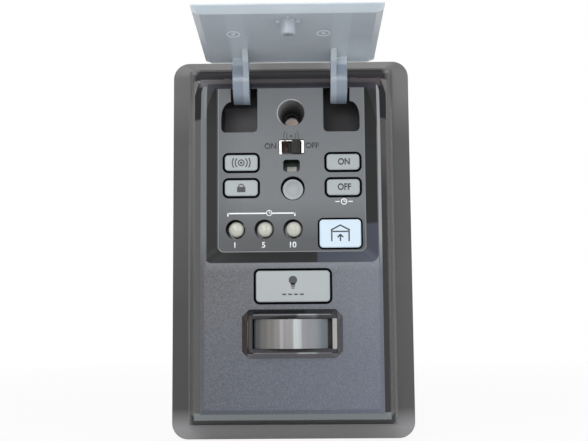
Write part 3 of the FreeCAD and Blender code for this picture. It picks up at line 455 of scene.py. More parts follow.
# Finishes
def case_zones(x, depth, z):
    """Masks of the zones of the case, told apart by where they lie on the moulding."""
    plate_side, plate_low, plate_top, bevel_depth = 31.0, -58.0, 55.5, 18.9
    learn, lock, light = front_of("learn_button"), front_of("lock_button"), front_of("light_button")
    wide = x.size()
    zone = SimpleNamespace()

    # Recess: its floor, its sides, the screw cone and all that is seen through its holes
    corner = past_corner((x - 0.25).size() - 23.55, -0.9 - z)
    zone.floor = (depth.between(FLOOR_DEPTH - 0.1, FLOOR_DEPTH + 0.08, 0.04) * corner.under(2.25, 0.08)
                  * z.under(54.8, 0.1))
    zone.floor_rim = zone.floor * corner.over(1.95, 0.1)
    zone.holes = (depth.between(FLANGE_DEPTH + 0.1, FLOOR_DEPTH - 0.1, 0.06) * wide.under(30.0, 0.2)
                  * z.between(-45.0, 55.2, 0.2))
    to_screw = ((x - SCREW_X) ** 2 + (z - SCREW_Z) ** 2) ** 0.5
    zone.cone = zone.holes * to_screw.under(5.0, 0.1) * depth.over(9.0, 14.0)
    zone.cone_rim = zone.floor * to_screw.between(4.6, 5.05, 0.1) * (z - x).over(46.5, 4.0)
    zone.recess_side = (depth.between(FLOOR_DEPTH - 0.1, FACE_DEPTH - 0.1, 0.06)
                        * x.between(-29.2, 30.2, 0.2) * z.over(-7.2, 0.2) * (1 - zone.floor))
    zone.upper_side = zone.recess_side * z.over(54.0, 1.0)
    zone.lit_side = zone.recess_side * x.over(9.0, 0.6) * z.under(6.5, 1.0)

    # Face plate, and the rims round its button and round the four small ones in the recess, where dark
    # shade in the gaps is painted
    outside_recess = (1 - zone.recess_side) * (1 - zone.floor)
    zone.plate = (depth.over(FLOOR_DEPTH + 0.1, 0.05) * wide.under(plate_side + 0.3, 0.2)
                  * z.between(plate_low - 0.2, plate_top + 0.1, 0.2) * outside_recess)
    zone.strips = zone.plate * z.over(-4.0, 12.0)
    from_middle = (x - light.x).size()
    light_rim = past_corner(from_middle - 11.35, (z - light.z).size() - 4.05)
    row_height, row_step = (learn.z + lock.z) / 2, (learn.z - lock.z) / 2
    small_rim = past_corner((from_middle - (light.x - learn.x)).size() - 4.45,
                            ((z - row_height).size() - row_step).size() - 1.5)
    zone.rims = (light_rim.under(2.1, 0.08) * depth.over(FLOOR_DEPTH, 0.05)
                 + small_rim.under(2.1, 0.08) * zone.floor).math("MINIMUM", 1.0)

    # Flange and the slanted sides above it
    zone.flange = depth.under(FLANGE_DEPTH, 0.1)
    zone.low_flange = zone.flange * z.under(-62.0, 7.0)
    zone.side_flange = zone.flange * wide.over(37.8, 0.5) * z.under(48.0, 16.0)
    zone.top_flange = zone.flange * z.over(60.0, 1.0) * wide.under(14.0, 8.0)
    zone.flank = (depth.between(FLANGE_DEPTH + 0.2, FLOOR_DEPTH - 0.2, 0.3) * wide.over(33.2, 0.2)
                  * z.under(53.0, 6.0))
    zone.top_flank = (z.over(58.4, 0.5) * depth.between(FLANGE_DEPTH - 0.1, bevel_depth + 0.1, 0.4)
                      * wide.under(34.5, 2.0))
    zone.low_flank = (z.under(-59.5, 0.5) * depth.between(FLANGE_DEPTH + 0.2, bevel_depth + 0.1, 0.4)
                      * wide.under(36.0, 1.5))

    # Bevels round the face plate, and the masks of the painted reflections, the painted edge highlight
    # and the painted glint on them
    zone.bevel = depth.over(bevel_depth - 0.1, 0.2) * (1 - zone.plate) * outside_recess
    zone.side_bevel = zone.bevel * wide.over(plate_side - 0.1, 0.2)
    zone.top_bevel = zone.bevel * z.over(plate_top, 1.0) * wide.under(32.0, 1.5)
    zone.dark_bevel = zone.side_bevel * z.between(43.5, 57.5, 1.0)
    zone.low_bevel = zone.bevel * z.under(plate_low + 0.1, 0.3)
    zone.bright_edge = (wide.between(plate_side - 0.25, plate_side + 0.15, 0.1)
                        * z.between(-57.0, 44.0, 2.0) * depth.over(22.0, 0.2))
    upper_left_edge = ((x + 31.3) * 1.5 + z - 56.3).size()
    zone.glint = zone.bevel * upper_left_edge.under(0.35, 0.2) * x.under(-plate_side, 0.3)
    return zone


def case_shade(finish, zone, settings):
    """Colours of the zones, laid one over the other; most of the layers are painted light, shade and
    reflections.
    """
    x, depth, z = finish.axes()
    body, floor, plate = settings.body_colour, settings.floor_colour, settings.plate_colour
    right = x.over(0.0, 10.0)
    lower_half = z.under(-8.0, 30.0)
    shade = finish.mix(finish.noise(30.0), body, tint(body, 0.97, 0.91, 0.89))

    # Flange and flanks: painted light and shade
    # Side flange: painted shade, darker at the lower left and at the upper right
    left_flange = finish.mix(lower_half, tint(body, 0.64), tint(body, 0.46))
    right_flange = finish.mix(lower_half, tint(body, 0.45), tint(body, 0.60))
    shade = finish.mix(zone.side_flange, shade, finish.mix(right, left_flange, right_flange))
    # Top flange between the arms: painted shade under the push bar
    shade = finish.mix(zone.top_flange, shade, tint(body, 0.5))
    # Low flange: painted light, lighter where the face above keeps the lamps off it
    shade = finish.mix(zone.low_flange, shade, tint(body, 2.4))
    # Flanks: painted reflections, the left one lighter toward the top, with painted highlight lines along
    # its foot and top edge, and a lighter painted foot on the right
    left_flank = finish.mix(z.over(8.0, 40.0), tint(body, 0.95), tint(body, 1.8))
    left_flank = finish.mix(depth.under(4.0, 1.5) + depth.over(18.2, 0.8), left_flank, tint(body, 2.3))
    right_flank = finish.mix(depth.under(7.0, 9.0), tint(body, 1.1), tint(body, 2.7))
    shade = finish.mix(zone.flank, shade, finish.mix(right, left_flank, right_flank))
    # Low flanks: painted shade
    shade = finish.mix(zone.low_flank, shade, tint(body, 0.4))

    # Bevels, with painted reflections, a painted edge highlight and a painted glint
    shade = finish.mix(zone.bevel, shade, tint(body, 0.22, 0.17, 0.19))
    # Side bevels: painted reflections, lighter on the left, and darker toward the top on the right
    right_bevel = finish.mix(z.under(25.0, 12.0), (0.055, 0.046, 0.044), (0.016, 0.013, 0.014))
    shade = finish.mix(zone.side_bevel, shade, finish.mix(right, tint(body, 0.68), right_bevel))
    # Painted dark reflection high on the side bevels
    shade = finish.mix(zone.dark_bevel, shade, (0.018, 0.019, 0.02))
    # Painted highlight along the side edges of the face plate
    shade = finish.mix(zone.bright_edge, shade, tint(body, 2.2))
    # Painted glint at the upper left corner
    shade = finish.mix(zone.glint, shade, (0.80, 0.82, 0.82))
    # Low bevel: painted light from below
    shade = finish.mix(zone.low_bevel, shade, tint(body, 1.5, 1.7, 1.7))

    # Recess floor: painted shade toward the bottom and the left, a painted highlight along its rounded
    # rim and a painted highlight on the upper left rim of the screw cone
    base = finish.mix(z.under(8.0, 14.0) * 0.8, floor, tint(floor, 0.38))
    base = finish.mix(x.under(-20.0, 8.0) * 0.4, base, tint(floor, 0.55))
    shade = finish.mix(zone.floor, shade, base)
    shade = finish.mix(zone.floor_rim, shade, tint(floor, 1.3))
    shade = finish.mix(zone.cone_rim, shade, (0.45, 0.45, 0.45))

    # Face plate with a metallic sparkle, painted shade toward the left, darker and bluer toward the
    # bottom, and its strips beside the recess
    base = finish.mix(x.over(0.0, 60.0), tint(plate, 0.58, 0.52, 0.44), tint(plate, 0.98))
    base = finish.mix(z.under(-30.0, 20.0) * 0.35, base, tint(plate, 0.5, 0.55, 0.72))
    sparkle = finish.noise(3200.0, 2.0, 0.7).over(0.6, 0.3)
    metallic = finish.mix(sparkle, base, tint(plate, 2.3))
    shade = finish.mix(zone.plate, shade, finish.mix(0.6, metallic, base))
    # Strips beside the recess: the left one, with the outer edge of the recess side, painted lighter as a
    # painted reflection
    strip = finish.mix(x.under(-29.0, 0.5), tint(floor, 1.7), tint(floor, 0.95))
    shade = finish.mix(zone.strips, shade, strip)

    # Sides of the recess: painted shade, darkest at the top, and a painted bluish reflection of the lit
    # button low on the right
    shade = finish.mix(zone.recess_side, shade, tint(body, 0.10))
    shade = finish.mix(zone.upper_side, shade, (0.020, 0.022, 0.030))
    return finish.mix(zone.lit_side, shade, (0.05, 0.056, 0.078))


def case_finish(settings):
    """One moulding: matt recess floor, glossy bevels, grained face and satin flange, with painted light,
    shade and reflections laid over its zones.
    """
    finish = Finish("case_moulding", IOR=1.4, Coat_Weight=0.35, Coat_Roughness=0.08, Coat_IOR=1.4)
    x, depth, z = finish.axes()
    zone = case_zones(x, depth, z)
    # Painted shade in the gaps round the buttons, laid over every other colour
    gap_colour = (0.006, 0.007, 0.009)
    shade = finish.mix(zone.rims, case_shade(finish, zone, settings), gap_colour)
    fine = finish.noise(5200.0, 2.0)
    rough = (0.24 + zone.flange * 0.12 + zone.floor * 0.32 + zone.plate * 0.18 + zone.recess_side * 0.2
             + fine * 0.04)
    grain = fine * (zone.floor * 0.9 + zone.plate * 0.8 + 0.04)
    coat = (0.3 - zone.floor * 0.29 - zone.plate * 0.25 - zone.recess_side * 0.28 - zone.flange * 0.15
            - zone.bevel * 0.15)

    # Painted shade: matt colours without gloss for the holes and what lies in shadow, painted light on
    # the screw cone and a painted reflection on the top bevel
    cone_gray = finish.mix(x.over(SCREW_X, 5.0), (0.26, 0.26, 0.265), (0.11, 0.11, 0.115))
    top_gray = finish.mix(x.under(-20.0, 12.0), (0.100, 0.084, 0.090), (0.15, 0.145, 0.155))
    shadows = finish.mix(zone.cone, (0.020, 0.020, 0.023), cone_gray)
    shadows = finish.mix(zone.top_bevel, shadows, top_gray)
    shadows = finish.mix(zone.rims, shadows, gap_colour)
    # Share of the painted shade: the holes, the gap rims, the top and low flanks, the dark patch on the
    # side bevels and the top bevel
    matt = (zone.holes + zone.rims + zone.top_flank * 0.9 + zone.low_flank * 0.6 + zone.dark_bevel * 0.8
            + zone.top_bevel * 0.7)
    finish.dull(matt.math("MINIMUM", 1.0), shadows)
    return finish.feed(Base_Color=shade, Roughness=rough, Coat_Weight=coat,
                       Normal=finish.bump(grain, settings.grain, finish.soft_edges(0.0005)))


def bar_finish(settings):
    """Smoky plastic with painted light: painted highlights at the bevelled free end, along the hinge edge
    and on the webs, painted lighter behind the arms, toward the free end and at the right corner, and
    darker and bluer on the arms.
    """
    finish = Finish("bar_smoky", IOR=1.5, Transmission_Weight=0.35)
    x, depth, z = finish.axes()
    colour = settings.colour
    hinge_edge_depth, free_end_depth, arm_side = 20.6, 59.9, 14.2
    wide = x.size()
    cloud = finish.noise(70.0)
    fine = finish.noise(3000.0, 2.0)
    free_end = depth.over(free_end_depth, 0.5)
    toward_end = depth.over(52.0, 14.0)
    hinge_edge = depth.under(hinge_edge_depth, 0.4) * z.over(61.0, 0.5)
    webs = wide.between(arm_side, arm_side + 2.1, 0.1) * depth.under(31.0, 0.5)
    arms = depth.under(31.0, 1.0) * wide.under(20.3, 0.1) * z.under(62.0, 1.0)
    behind_arm = (wide.between(arm_side, arm_side + 5.8, 0.5)
                  * depth.between(hinge_edge_depth, free_end_depth, 0.5))
    right_corner = x.over(17.0, 8.0) * depth.under(33.0, 16.0)
    shade = finish.mix(cloud, tint(colour, 0.93), tint(colour, 1.07))
    # Painted light behind the arms, toward the free end and at the right corner
    shade = finish.mix(behind_arm * 0.35, shade, tint(colour, 1.25))
    shade = finish.mix(toward_end * 0.3, shade, tint(colour, 1.25))
    shade = finish.mix(right_corner, shade, tint(colour, 1.33))
    shade = finish.mix(arms, shade, tint(colour, 0.66, 0.72, 0.80))
    # Painted highlights on the webs, the free end and the hinge edge
    shade = finish.mix(webs * 0.35, shade, tint(colour, 1.3))
    shade = finish.mix(free_end + hinge_edge, shade, tint(colour, 1.62, 1.62, 1.6))
    normal = finish.bump(fine, 0.00001, finish.soft_edges(0.0004))
    return finish.feed(Base_Color=shade, Roughness=fine * 0.1 + 0.2, Normal=normal)


def cover_finish():
    """Matt rear cover, with painted light where it shows through the left arm slot."""
    finish = Finish("cover_matt")
    x, depth, z = finish.axes()
    fine = finish.noise(GRAIN_SCALE)
    # Painted light on the part of the cover seen through the left arm slot
    in_slot = x.between(-24.6, -11.0, 0.3) * z.between(30.0, 52.0, 1.0) * depth.over(1.6, 0.2)
    shade = finish.mix(in_slot, (0.045, 0.043, 0.05), (0.14, 0.14, 0.15))
    return finish.feed(Base_Color=shade, Roughness=fine * 0.1 + 0.5, Normal=finish.bump(fine, 0.00004))


def bezel_finish():
    """Smoky gloss frame of the motion sensor, with painted gleams on its edges and painted light on its
    facets, sides and sills.
    """
    finish = Finish("bezel_smoky", IOR=1.36)
    x, depth, z = finish.axes()
    above = z - SENSOR.z
    height = above.size()
    across = x - SENSOR.x
    window = depth.over(24.4, 0.1) * height.under(5.1, 0.1)
    sill = window * across.between(13.6, 15.0, 0.1)
    left_sill = window * across.between(-14.7, -13.7, 0.2)
    sides = across.size().over(15.3, 0.2)
    crest = depth.over(SENSOR.depth - 0.2, 0.1) * height.between(6.2, 6.7, 0.1)
    front = height.between(5.0, 6.2, 0.1) * across.size().under(14.6, 0.4)
    bright = across.between(1.8, 8.2, 1.5)
    fine = finish.noise(GRAIN_SCALE)
    # Painted light: the top facet lighter on the right, painted gleams on the front faces and crests, and
    # the low facet, the sides and the sills painted lighter
    shade = finish.mix(across.over(4.5, 2.0) * 0.8, (0.013, 0.014, 0.016), (0.035, 0.036, 0.040))
    gleam = finish.mix(bright, (0.045, 0.045, 0.048), (0.13, 0.13, 0.135))
    shade = finish.mix(front, shade, gleam)
    shade = finish.mix(front * above.under(0.0, 1.0), shade, (0.048, 0.047, 0.050))
    shade = finish.mix(above.under(-6.6, 0.1), shade, (0.125, 0.122, 0.135))
    side = finish.mix(across.over(0.0, 1.0), (0.050, 0.037, 0.033), (0.085, 0.084, 0.095))
    shade = finish.mix(sides, shade, side)
    gleam = finish.mix(bright, (0.10, 0.10, 0.11), (0.26, 0.27, 0.28))
    shade = finish.mix(crest, shade, gleam)
    shade = finish.mix(left_sill, shade, (0.06, 0.058, 0.058))
    # Right sill: painted reflection, pale beige
    shade = finish.mix(sill, shade, (0.40, 0.39, 0.37))
    return finish.feed(Base_Color=shade, Roughness=fine * 0.06 + 0.12, Normal=finish.bump(fine, 0.000004))


def lens_finish():
    """Milky sensor lens with painted upright light streaks, painted shade toward its ends, and fine ribs.
    """
    finish = Finish("lens_ribbed", IOR=1.4, Coat_Weight=0.3, Coat_Roughness=0.12)
    x = finish.axes()[0]
    left, right = (corner[0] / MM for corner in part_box("sensor_lens"))
    across = (x - left) / (right - left)
    # Painted light: bright upright streaks across the lens, darker toward both ends
    shade = finish.ramp(
        across, (0.0, (0.03, 0.035, 0.04)), (0.06, (0.06, 0.06, 0.065)), (0.16, (0.115, 0.11, 0.10)),
        (0.34, (0.165, 0.16, 0.155)), (0.37, (0.27, 0.26, 0.265)), (0.41, (0.17, 0.165, 0.17)),
        (0.525, (0.19, 0.185, 0.19)), (0.54, (0.42, 0.45, 0.46)), (0.63, (0.39, 0.43, 0.44)),
        (0.66, (0.22, 0.22, 0.235)), (0.84, (0.20, 0.21, 0.22)), (0.87, (0.15, 0.18, 0.20)),
        (0.95, (0.09, 0.11, 0.13)))
    ribs = (x * 2.9).math("SINE") * 0.5 + 0.5
    cloud = finish.noise(160.0)
    shade = finish.mix(ribs * 0.10 + cloud * 0.08, shade, (0.25, 0.25, 0.26))
    return finish.feed(Base_Color=shade, Roughness=cloud * 0.1 + 0.3, Normal=finish.bump(ribs, 0.00006))


def switch_frame_finish():
    """Plated metal, dark where the housing shades it."""
    finish = Finish("switch_frame_metal", Metallic=1.0)
    x, _, z = finish.axes()
    low, high = (corner[2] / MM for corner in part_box("sensor_switch_frame"))
    fine = finish.noise(GRAIN_SCALE)
    shadow = z.over(high - 0.05, 0.08) + z.under(low + 0.42, 0.1) * x.over(-3.0, 0.2)
    shade = finish.mix(shadow.math("MINIMUM", 1.0), (0.62, 0.62, 0.6), (0.04, 0.04, 0.04))
    return finish.feed(Base_Color=shade, Roughness=fine * 0.1 + 0.26)


def switch_knob_finish():
    """Black ribbed grip on a paler slider."""
    finish = Finish("switch_knob_plastic", IOR=1.2)
    x, depth, _ = finish.axes()
    grip = depth.over(18.55, 0.06)
    fine = finish.noise(GRAIN_SCALE)
    ribs = (x * 9.0).math("SINE").over(0.2, 0.6)
    black = finish.mix(ribs, (0.006, 0.006, 0.007), (0.09, 0.09, 0.082))
    shade = finish.mix(grip, (0.42, 0.37, 0.40), black)
    return finish.feed(Base_Color=shade, Roughness=fine * 0.1 + 0.6,
                       Normal=finish.bump(fine, GRAIN_HEIGHT))


def lamp_finish():
    """Milky dome with painted light, brighter toward its top."""
    finish = Finish("lamp_milky", IOR=1.5, Transmission_Weight=0.15, Coat_Weight=0.5)
    depth = finish.axes()[1]
    top = front_of("minute_light_1").depth
    cloud = finish.noise(420.0)
    # Painted light, brighter toward the top of the dome
    height = depth.between(top - 2.2, top - 0.1, 1.6)
    shade = finish.mix(height, (0.40, 0.41, 0.36), (0.76, 0.77, 0.69))
    shade = finish.mix(cloud * 0.35, shade, (0.42, 0.43, 0.40))
    return finish.feed(Base_Color=shade, Roughness=cloud * 0.1 + 0.2)


def key_finish(name, colour, face, glow=0.0, middle=None):
    """Satin cap; below the face around it the button carries painted shade. A middle gives it a painted
    highlight on its rim.
    """
    finish = Finish(name, Roughness=0.42, Emission_Strength=glow)
    x, depth, z = finish.axes()
    fine = finish.noise(3600.0, 2.0)
    drift = finish.noise(90.0)
    shade = finish.mix(drift, tint(colour, 0.95), tint(colour, 1.05))
    if middle:
        around = ((x - middle.x) ** 2 + (z - middle.z) ** 2) ** 0.5
        # Painted highlight on the rim round the middle
        shade = finish.mix(around.over(2.7, 0.5), shade, tint(colour, 1.3))
    # Painted shade on the sides of the cap below its face
    dark = finish.mix(drift, (0.006, 0.007, 0.008), (0.010, 0.011, 0.012))
    below_face = depth.under(face, 0.1)
    finish.dull(below_face, dark)
    shade = finish.mix(below_face, shade, dark)
    links = {"Base_Color": shade, "Roughness": fine * 0.12 + 0.36,
             "Normal": finish.bump(fine, GRAIN_HEIGHT)}
    if glow:
        # Glow: emission on the cap, painted light for the lamp that shines through it
        links["Emission_Color"] = shade
    return finish.feed(**links)


def board_finish():
    """Green lacquer over copper tracks."""
    finish = Finish("board_lacquer", Roughness=0.35)
    cells = finish.node("ShaderNodeTexBrick", {"offset": 0.35}, {
        "Vector": finish.place(), "Color1": (0, 0, 0), "Color2": (0, 0, 0), "Mortar": (1, 1, 1),
        "Scale": 260.0, "Mortar Size": 0.03, "Brick Width": 1.4, "Row Height": 0.5})
    drift = finish.noise(60.0)
    shade = finish.mix(cells, (0.006, 0.035, 0.018), (0.015, 0.07, 0.03))
    shade = finish.mix(drift * 0.3, shade, (0.005, 0.03, 0.018))
    return finish.feed(Base_Color=shade, Roughness=drift * 0.15 + 0.25)


# Stage
def photo_camera(settings):
    """Camera with the place, tilt and lens that were fitted to the photo."""
    bpy.ops.object.camera_add()
    camera = bpy.context.object
    camera.name = "photo_view"
    pitch, yaw, roll = math.radians(5.71), math.radians(0.65), math.radians(-0.47)
    right = Vector((math.cos(yaw), math.sin(yaw), 0))
    ahead = Vector((-math.sin(yaw) * math.cos(pitch), math.cos(yaw) * math.cos(pitch), math.sin(pitch)))
    up = right.cross(ahead)
    side = right * math.cos(roll) + up * math.sin(roll)
    top = up * math.cos(roll) - right * math.sin(roll)
    place = Vector((0.00444, -settings.view_distance, -0.02252))
    camera.matrix_world = Matrix((
        (side.x, top.x, -ahead.x, place.x), (side.y, top.y, -ahead.y, place.y),
        (side.z, top.z, -ahead.z, place.z), (0, 0, 0, 1)))
    camera.data.sensor_width = 36.0
    camera.data.lens = settings.focal
    camera.data.clip_start = 0.01
    return camera


def pale_room():
    """World that lights the object softly and looks white behind it."""
    world = bpy.data.worlds.new("pale_room")
    world.use_nodes = True
    nodes = Nodes(world.node_tree)
    on_object, behind = 0.36, 1.0
    strength = nodes.node("ShaderNodeMix", {"data_type": "FLOAT"},
                          {0: nodes.background_rays(), 2: on_object, 3: behind})
    back = nodes.tree.nodes["Background"]
    back.inputs["Color"].default_value = (1, 1, 1, 1)
    nodes.tree.links.new(strength.socket, back.inputs["Strength"])
    return world


def soft_lamp(name, spot, size, power):
    """Square lamp aimed at the middle of the case."""
    bpy.ops.object.light_add(type="AREA", location=spot)
    lamp = bpy.context.object
    lamp.name = name
    lamp.data.shape = "SQUARE"
    lamp.data.size = size
    lamp.data.energy = power
    aim = Vector((0, -0.01, 0)) - Vector(spot)
    lamp.rotation_euler = aim.to_track_quat("-Z", "Y").to_euler()


def pale_ground():
    """Floor just under the case; it looks white far away and keeps the shadows near by."""
    nothing_selected()
    bpy.ops.mesh.primitive_plane_add(size=3.0, location=(0, 0, CAD_BOX[0][2] - 0.0002))
    ground = bpy.context.object
    ground.name = "ground"
    finish = Finish("pale_ground", Roughness=0.8)
    x, depth, _ = finish.axes()
    cloud = finish.noise(8.0)
    finish.feed(Base_Color=finish.mix(cloud, (0.90, 0.90, 0.90), (0.93, 0.93, 0.93)))
    far = ((x ** 2 + depth ** 2) ** 0.5).over(330.0, 400.0)
    shadow_share = 0.12
    white = far * shadow_share + (1 - shadow_share)
    finish.cover(white * finish.background_rays(), "ShaderNodeEmission", (1, 1, 1))
    ground.data.materials.append(finish.material)


def wall_patch():
    """Piece of bare wall that shows through the screw hole, with a faint painted glow."""
    patch = disc_at(SCREW_X, SCREW_Z, 2.35, 0.2)
    patch.name = "wall_behind_screw_hole"
    colour = (0.85, 0.70, 0.64)
    # Emission: painted light on the wall patch, which lies in the shade of the hole
    bare = moulded("bare_wall", colour, 0.8, Emission_Strength=0.12, Emission_Color=colour)
    patch.data.materials.append(bare)


class Piece(bpy.types.Operator):
    """Shared base of the operators"""
    bl_options = {"REGISTER", "UNDO"}


class WALLCONTROL_OT_stage(Piece):
    """Camera, soft lights, pale surroundings and floor"""
    bl_idname = "wall_control.stage"
    bl_label = "Stage"

    def execute(self, context):
        scene = context.scene
        scene.view_settings.view_transform = "Standard"
        scene.camera = photo_camera(scene.wall_stage)
        scene.world = pale_room()
        for lamp in (("key_light", (-0.35, -0.75, 0.65), 0.5, 3.2),
                     ("fill_light", (0.6, -0.6, 0.25), 0.5, 1.5),
                     ("low_light", (-0.1, -0.85, 0.0), 0.4, 2.4),
                     ("top_light", (0.05, -0.15, 0.75), 0.4, 2.0)):
            soft_lamp(*lamp)
        pale_ground()
        wall_patch()
        return {"FINISHED"}


class WALLCONTROL_OT_case(Piece):
    """Finishes of the front housing and the rear cover"""
    bl_idname = "wall_control.case"
    bl_label = "Case"

    def execute(self, context):
        dress("front_housing", case_finish(context.scene.wall_case))
        dress("rear_cover", cover_finish())
        dress("case_screws", metal("screw_plated", (0.55, 0.55, 0.54), 0.3))
        return {"FINISHED"}


class WALLCONTROL_OT_bar(Piece):
    """Push bar finish and the round marks on its underside"""
    bl_idname = "wall_control.bar"
    bl_label = "Push bar"

    def execute(self, context):
        settings = context.scene.wall_bar
        dress("push_bar", bar_finish(settings))
        # The marks are laid out about the hinge as on the closed bar, then turned up with it
        joint = next(j for j in frame["joints"] if j["name"] == "bar_hinge")
        turn = Matrix.Rotation(math.radians(-joint["range_deg"][1]), 4, "X")
        radius = settings.ring_radius / MM
        underside, drop = 5.95, -28.5
        proud, sunk = 0.12, 0.02
        rings = []
        for x in (-18.1, 11.4):
            rings.append(disc_at(x, drop, radius, underside - proud, hole=radius - 0.45))
            rings.append(disc_at(x, drop, radius * 0.3, underside - proud))
        piece = raised(joined(rings), (proud + sunk) * MM)
        piece.matrix_world = Matrix.Translation(Vector(joint["pos_m"])) @ turn
        # The round marks and their middle discs are painted pale as painted highlights
        pale = moulded("bar_mark_pale", (0.62, 0.66, 0.72), 0.2)
        settle(piece, "bar_round_marks", "bar", pale)
        return {"FINISHED"}


class WALLCONTROL_OT_keys(Piece):
    """Button finishes and the pictograms printed on them"""
    bl_idname = "wall_control.keys"
    bl_label = "Buttons"

    def execute(self, context):
        settings = context.scene.wall_keys
        door = front_of("door_button")
        gray = key_finish("key_gray", settings.colour, FLOOR_DEPTH)
        finishes = {
            "light": key_finish("key_gray_wide", settings.colour, FACE_DEPTH),
            # The round door button is painted lighter to offset the shade of its recess
            "door": key_finish("key_gray_round", tint(settings.colour, 1.18), door.depth - 0.55,
                               middle=door),
            "hold_open": key_finish("key_lit", settings.lit_colour, FLOOR_DEPTH - 0.05, glow=0.2)}
        for name in KEYS:
            dress(name + "_button", finishes.get(name, gray))
            dress(name + "_plunger", moulded(name + "_plunger_plastic", (0.02, 0.02, 0.022), 0.5))
            dress(name + "_switch", metal(name + "_switch_can", (0.5, 0.5, 0.5), 0.4))
        up = settings.mark_height
        look = ("switch_black", moulded("ink_dark", (0.035, 0.038, 0.042), 0.5))

        # Ring, dot and waves
        x, face, z = front_of("learn_button")
        waves = [arc_at(x, z, radius, 0.4, face, turn - spread, turn + spread)
                 for radius, spread in ((2.1, 46), (3.1, 33)) for turn in (0, 180)]
        mark([disc_at(x, z, 1.2, face, hole=0.82), disc_at(x, z, 0.42, face)] + waves,
             up, "learn_mark", "learn_key", *look)

        # Padlock
        x, face, z = front_of("lock_button")
        mark([bar_at(x, z - 0.55, 2.9, 1.9, face), arc_at(x, z + 0.4, 0.9, 0.36, face, 0, 180)],
             up, "lock_mark", "lock_key", *look)

        for key, text in (("timer_on", "ON"), ("timer_off", "OFF")):
            x, face, z = front_of(key + "_button")
            mark([word_at(text, x + 0.35, z, 2.2, face, 0.86)],
                 up, key + "_button_mark", key + "_key", *look)

        # Garage with an arrow in it
        x, face, z = front_of("hold_open_button")
        stroke = 0.5
        garage = [bar_at(x, z + 0.7, 5.4, stroke, face), bar_at(x, z - 1.45, stroke, 2.4, face)]
        for way in (-1, 1):
            garage += [bar_at(x + way * 3.0, z - 0.7, stroke, 4.0, face),
                       bar_at(x + way * 1.6, z + 2.05, 3.8, stroke, face, way * -28),
                       bar_at(x + way * 0.5, z - 0.85, 1.4, stroke, face, way * -45)]
        mark(garage, up, "hold_open_mark", "hold_open_key", *look)

        # Bulb over four dashes
        x, face, z = front_of("light_button")
        dashes = [bar_at(x + shift, z - 2.75, 1.3, 0.5, face) for shift in (-3.0, -1.0, 1.0, 3.0)]
        mark([disc_at(x, z + 2.1, 1.45, face), bar_at(x, z + 0.65, 1.5, 0.9, face),
              bar_at(x, z - 0.15, 1.3, 0.3, face), bar_at(x, z - 0.65, 1.1, 0.3, face)] + dashes,
             up, "light_mark", "light_key", *look)
        return {"FINISHED"}


class WALLCONTROL_OT_marks(Piece):
    """White print and moulded words round the lights and the slide switch"""
    bl_idname = "wall_control.marks"
    bl_label = "Marks"

    def execute(self, context):
        settings = context.scene.wall_keys
        print_look = ("button_gray", moulded("print_white", settings.mark_colour, 0.5, shift=0.02))
        moulded_look = ("case_gray", moulded("moulded_mark", (0.05, 0.05, 0.053), 0.4))
        face = FLOOR_DEPTH
        up = settings.mark_height
        numbers = [word_at(text, front_of("minute_light_" + text).x - 0.5, -0.75, 1.95, face)
                   for text in MINUTES]
        mark(numbers, up, "minute_numbers", "case", *print_look)

        # Bracket over the minute lights, broken by a small clock
        x, z, stroke = -7.6, 10.4, 0.45
        mark([bar_at(x - 7.8, z, 13.4, stroke, face), bar_at(x + 5.0, z, 8.0, stroke, face),
              bar_at(x - 14.4, z - 0.4, stroke, 1.25, face), bar_at(x + 8.9, z - 0.4, stroke, 1.25, face),
              disc_at(x, z + 0.1, 1.05, face, hole=0.8), bar_at(x, z + 0.4, 0.22, 0.75, face),
              bar_at(x + 0.3, z + 0.05, 0.7, 0.22, face)],
             up, "minute_bracket", "case", *print_look)

        # Clock between two dashes, under the timer buttons
        x, z = 18.5, 14.3
        mark([disc_at(x, z, 1.1, face, hole=0.82), bar_at(x, z + 0.35, 0.24, 0.8, face),
              bar_at(x + 0.3, z, 0.75, 0.24, face), bar_at(x - 2.3, z, 1.5, 0.3, face),
              bar_at(x + 2.3, z, 1.5, 0.3, face)],
             up, "timer_clock", "case", *print_look)

        # Waves over the slide switch, between its two words
        x, z = 0.2, 37.6
        waves = [arc_at(x, z, radius, 0.3, face, turn - 40, turn + 40)
                 for turn in (0, 180) for radius in (1.6, 2.6)]
        mark([word_at("ON", x - 7.2, z - 3.6, 1.9, face), word_at("OFF", x + 7.4, z - 3.5, 1.9, face)]
             + waves + [disc_at(x, z, 0.5, face)],
             up, "switch_marks", "case", *moulded_look)
        return {"FINISHED"}


class WALLCONTROL_OT_lamps(Piece):
    """Minute lights, status light and the lamps under the lit buttons"""
    bl_idname = "wall_control.lamps"
    bl_label = "Lamps"

    def execute(self, context):
        milky = lamp_finish()
        for text in MINUTES:
            dress("minute_light_" + text, milky)
        dress("status_light", moulded("status_chip", (0.55, 0.55, 0.47), 0.3, Coat_Weight=0.3))
        dress("hold_open_lamp", moulded("lamp_chip_lit", (0.8, 0.8, 0.7), 0.3))
        dress("light_lamp", moulded("lamp_chip_clear", (0.75, 0.75, 0.68), 0.3))
        return {"FINISHED"}


class WALLCONTROL_OT_sensor(Piece):
    """Motion sensor: glossy frame, ribbed lens, can and window"""
    bl_idname = "wall_control.sensor"
    bl_label = "Motion sensor"

    def execute(self, context):
        dress("sensor_bezel", bezel_finish())
        dress("sensor_lens", lens_finish())
        dress("sensor_can", metal("sensor_can_metal", (0.6, 0.58, 0.52), 0.3))
        dress("sensor_filter", moulded("sensor_window", (0.03, 0.02, 0.03), 0.1))
        return {"FINISHED"}


class WALLCONTROL_OT_switch(Piece):
    """Slide switch: metal frame, base and ribbed knob"""
    bl_idname = "wall_control.switch"
    bl_label = "Slide switch"

    def execute(self, context):
        dress("sensor_switch_frame", switch_frame_finish())
        dress("sensor_switch_base", moulded("switch_base_plastic", (0.10, 0.055, 0.035), 0.5))
        dress("sensor_switch_knob", switch_knob_finish())
        return {"FINISHED"}


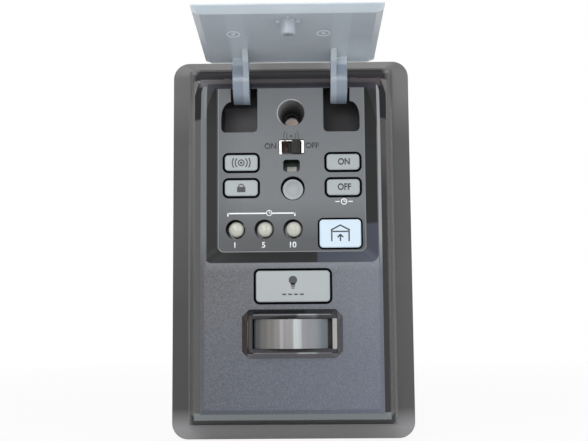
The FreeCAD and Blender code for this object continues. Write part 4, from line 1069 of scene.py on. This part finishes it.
class WALLCONTROL_OT_inside(Piece):
    """Board, chip, capacitor and terminals"""
    bl_idname = "wall_control.inside"
    bl_label = "Inside"

    def execute(self, context):
        dress("main_board", board_finish())
        dress("microcontroller", moulded("chip_plastic", (0.01, 0.01, 0.011), 0.5))
        dress("capacitor", moulded("capacitor_sleeve", (0.015, 0.02, 0.06), 0.25))
        dress("terminal_block", moulded("terminal_plastic", (0.02, 0.16, 0.07), 0.45))
        dress("terminal_screws", metal("terminal_screw_metal", (0.6, 0.6, 0.58), 0.3))
        dress("terminal_plates", metal("terminal_brass", (0.72, 0.55, 0.25), 0.35))
        return {"FINISHED"}


class WALLCONTROL_PT_panel(bpy.types.Panel):
    """Lists the pieces of the wall control"""
    bl_label = "Wall control"
    bl_idname = "WALLCONTROL_PT_panel"
    bl_space_type = "VIEW_3D"
    bl_region_type = "UI"
    bl_category = "Wall control"

    def draw(self, context):
        scene = context.scene
        for group in (scene.wall_stage, scene.wall_case, scene.wall_bar, scene.wall_keys):
            box = self.layout.box()
            for name in group.__annotations__:
                box.prop(group, name)
        for operator in PIECES:
            self.layout.operator(operator.bl_idname)


GROUPS = {"wall_stage": StageSettings, "wall_case": CaseSettings, "wall_bar": BarSettings,
          "wall_keys": KeySettings}
PIECES = (WALLCONTROL_OT_stage, WALLCONTROL_OT_case, WALLCONTROL_OT_bar, WALLCONTROL_OT_keys,
          WALLCONTROL_OT_marks, WALLCONTROL_OT_lamps, WALLCONTROL_OT_sensor, WALLCONTROL_OT_switch,
          WALLCONTROL_OT_inside)


def register():
    for name, group in GROUPS.items():
        bpy.utils.register_class(group)
        setattr(bpy.types.Scene, name, PointerProperty(type=group))
    for item in PIECES + (WALLCONTROL_PT_panel,):
        bpy.utils.register_class(item)


def unregister():
    for item in reversed(PIECES + (WALLCONTROL_PT_panel,)):
        bpy.utils.unregister_class(item)
    for name, group in GROUPS.items():
        delattr(bpy.types.Scene, name)
        bpy.utils.unregister_class(group)


def main():
    register()
    bpy.ops.wall_control.stage()
    bpy.ops.wall_control.case()
    bpy.ops.wall_control.bar()
    bpy.ops.wall_control.keys()
    bpy.ops.wall_control.marks()
    bpy.ops.wall_control.lamps()
    bpy.ops.wall_control.sensor()
    bpy.ops.wall_control.switch()
    bpy.ops.wall_control.inside()
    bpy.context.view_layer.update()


if __name__ == "__main__":
    main()
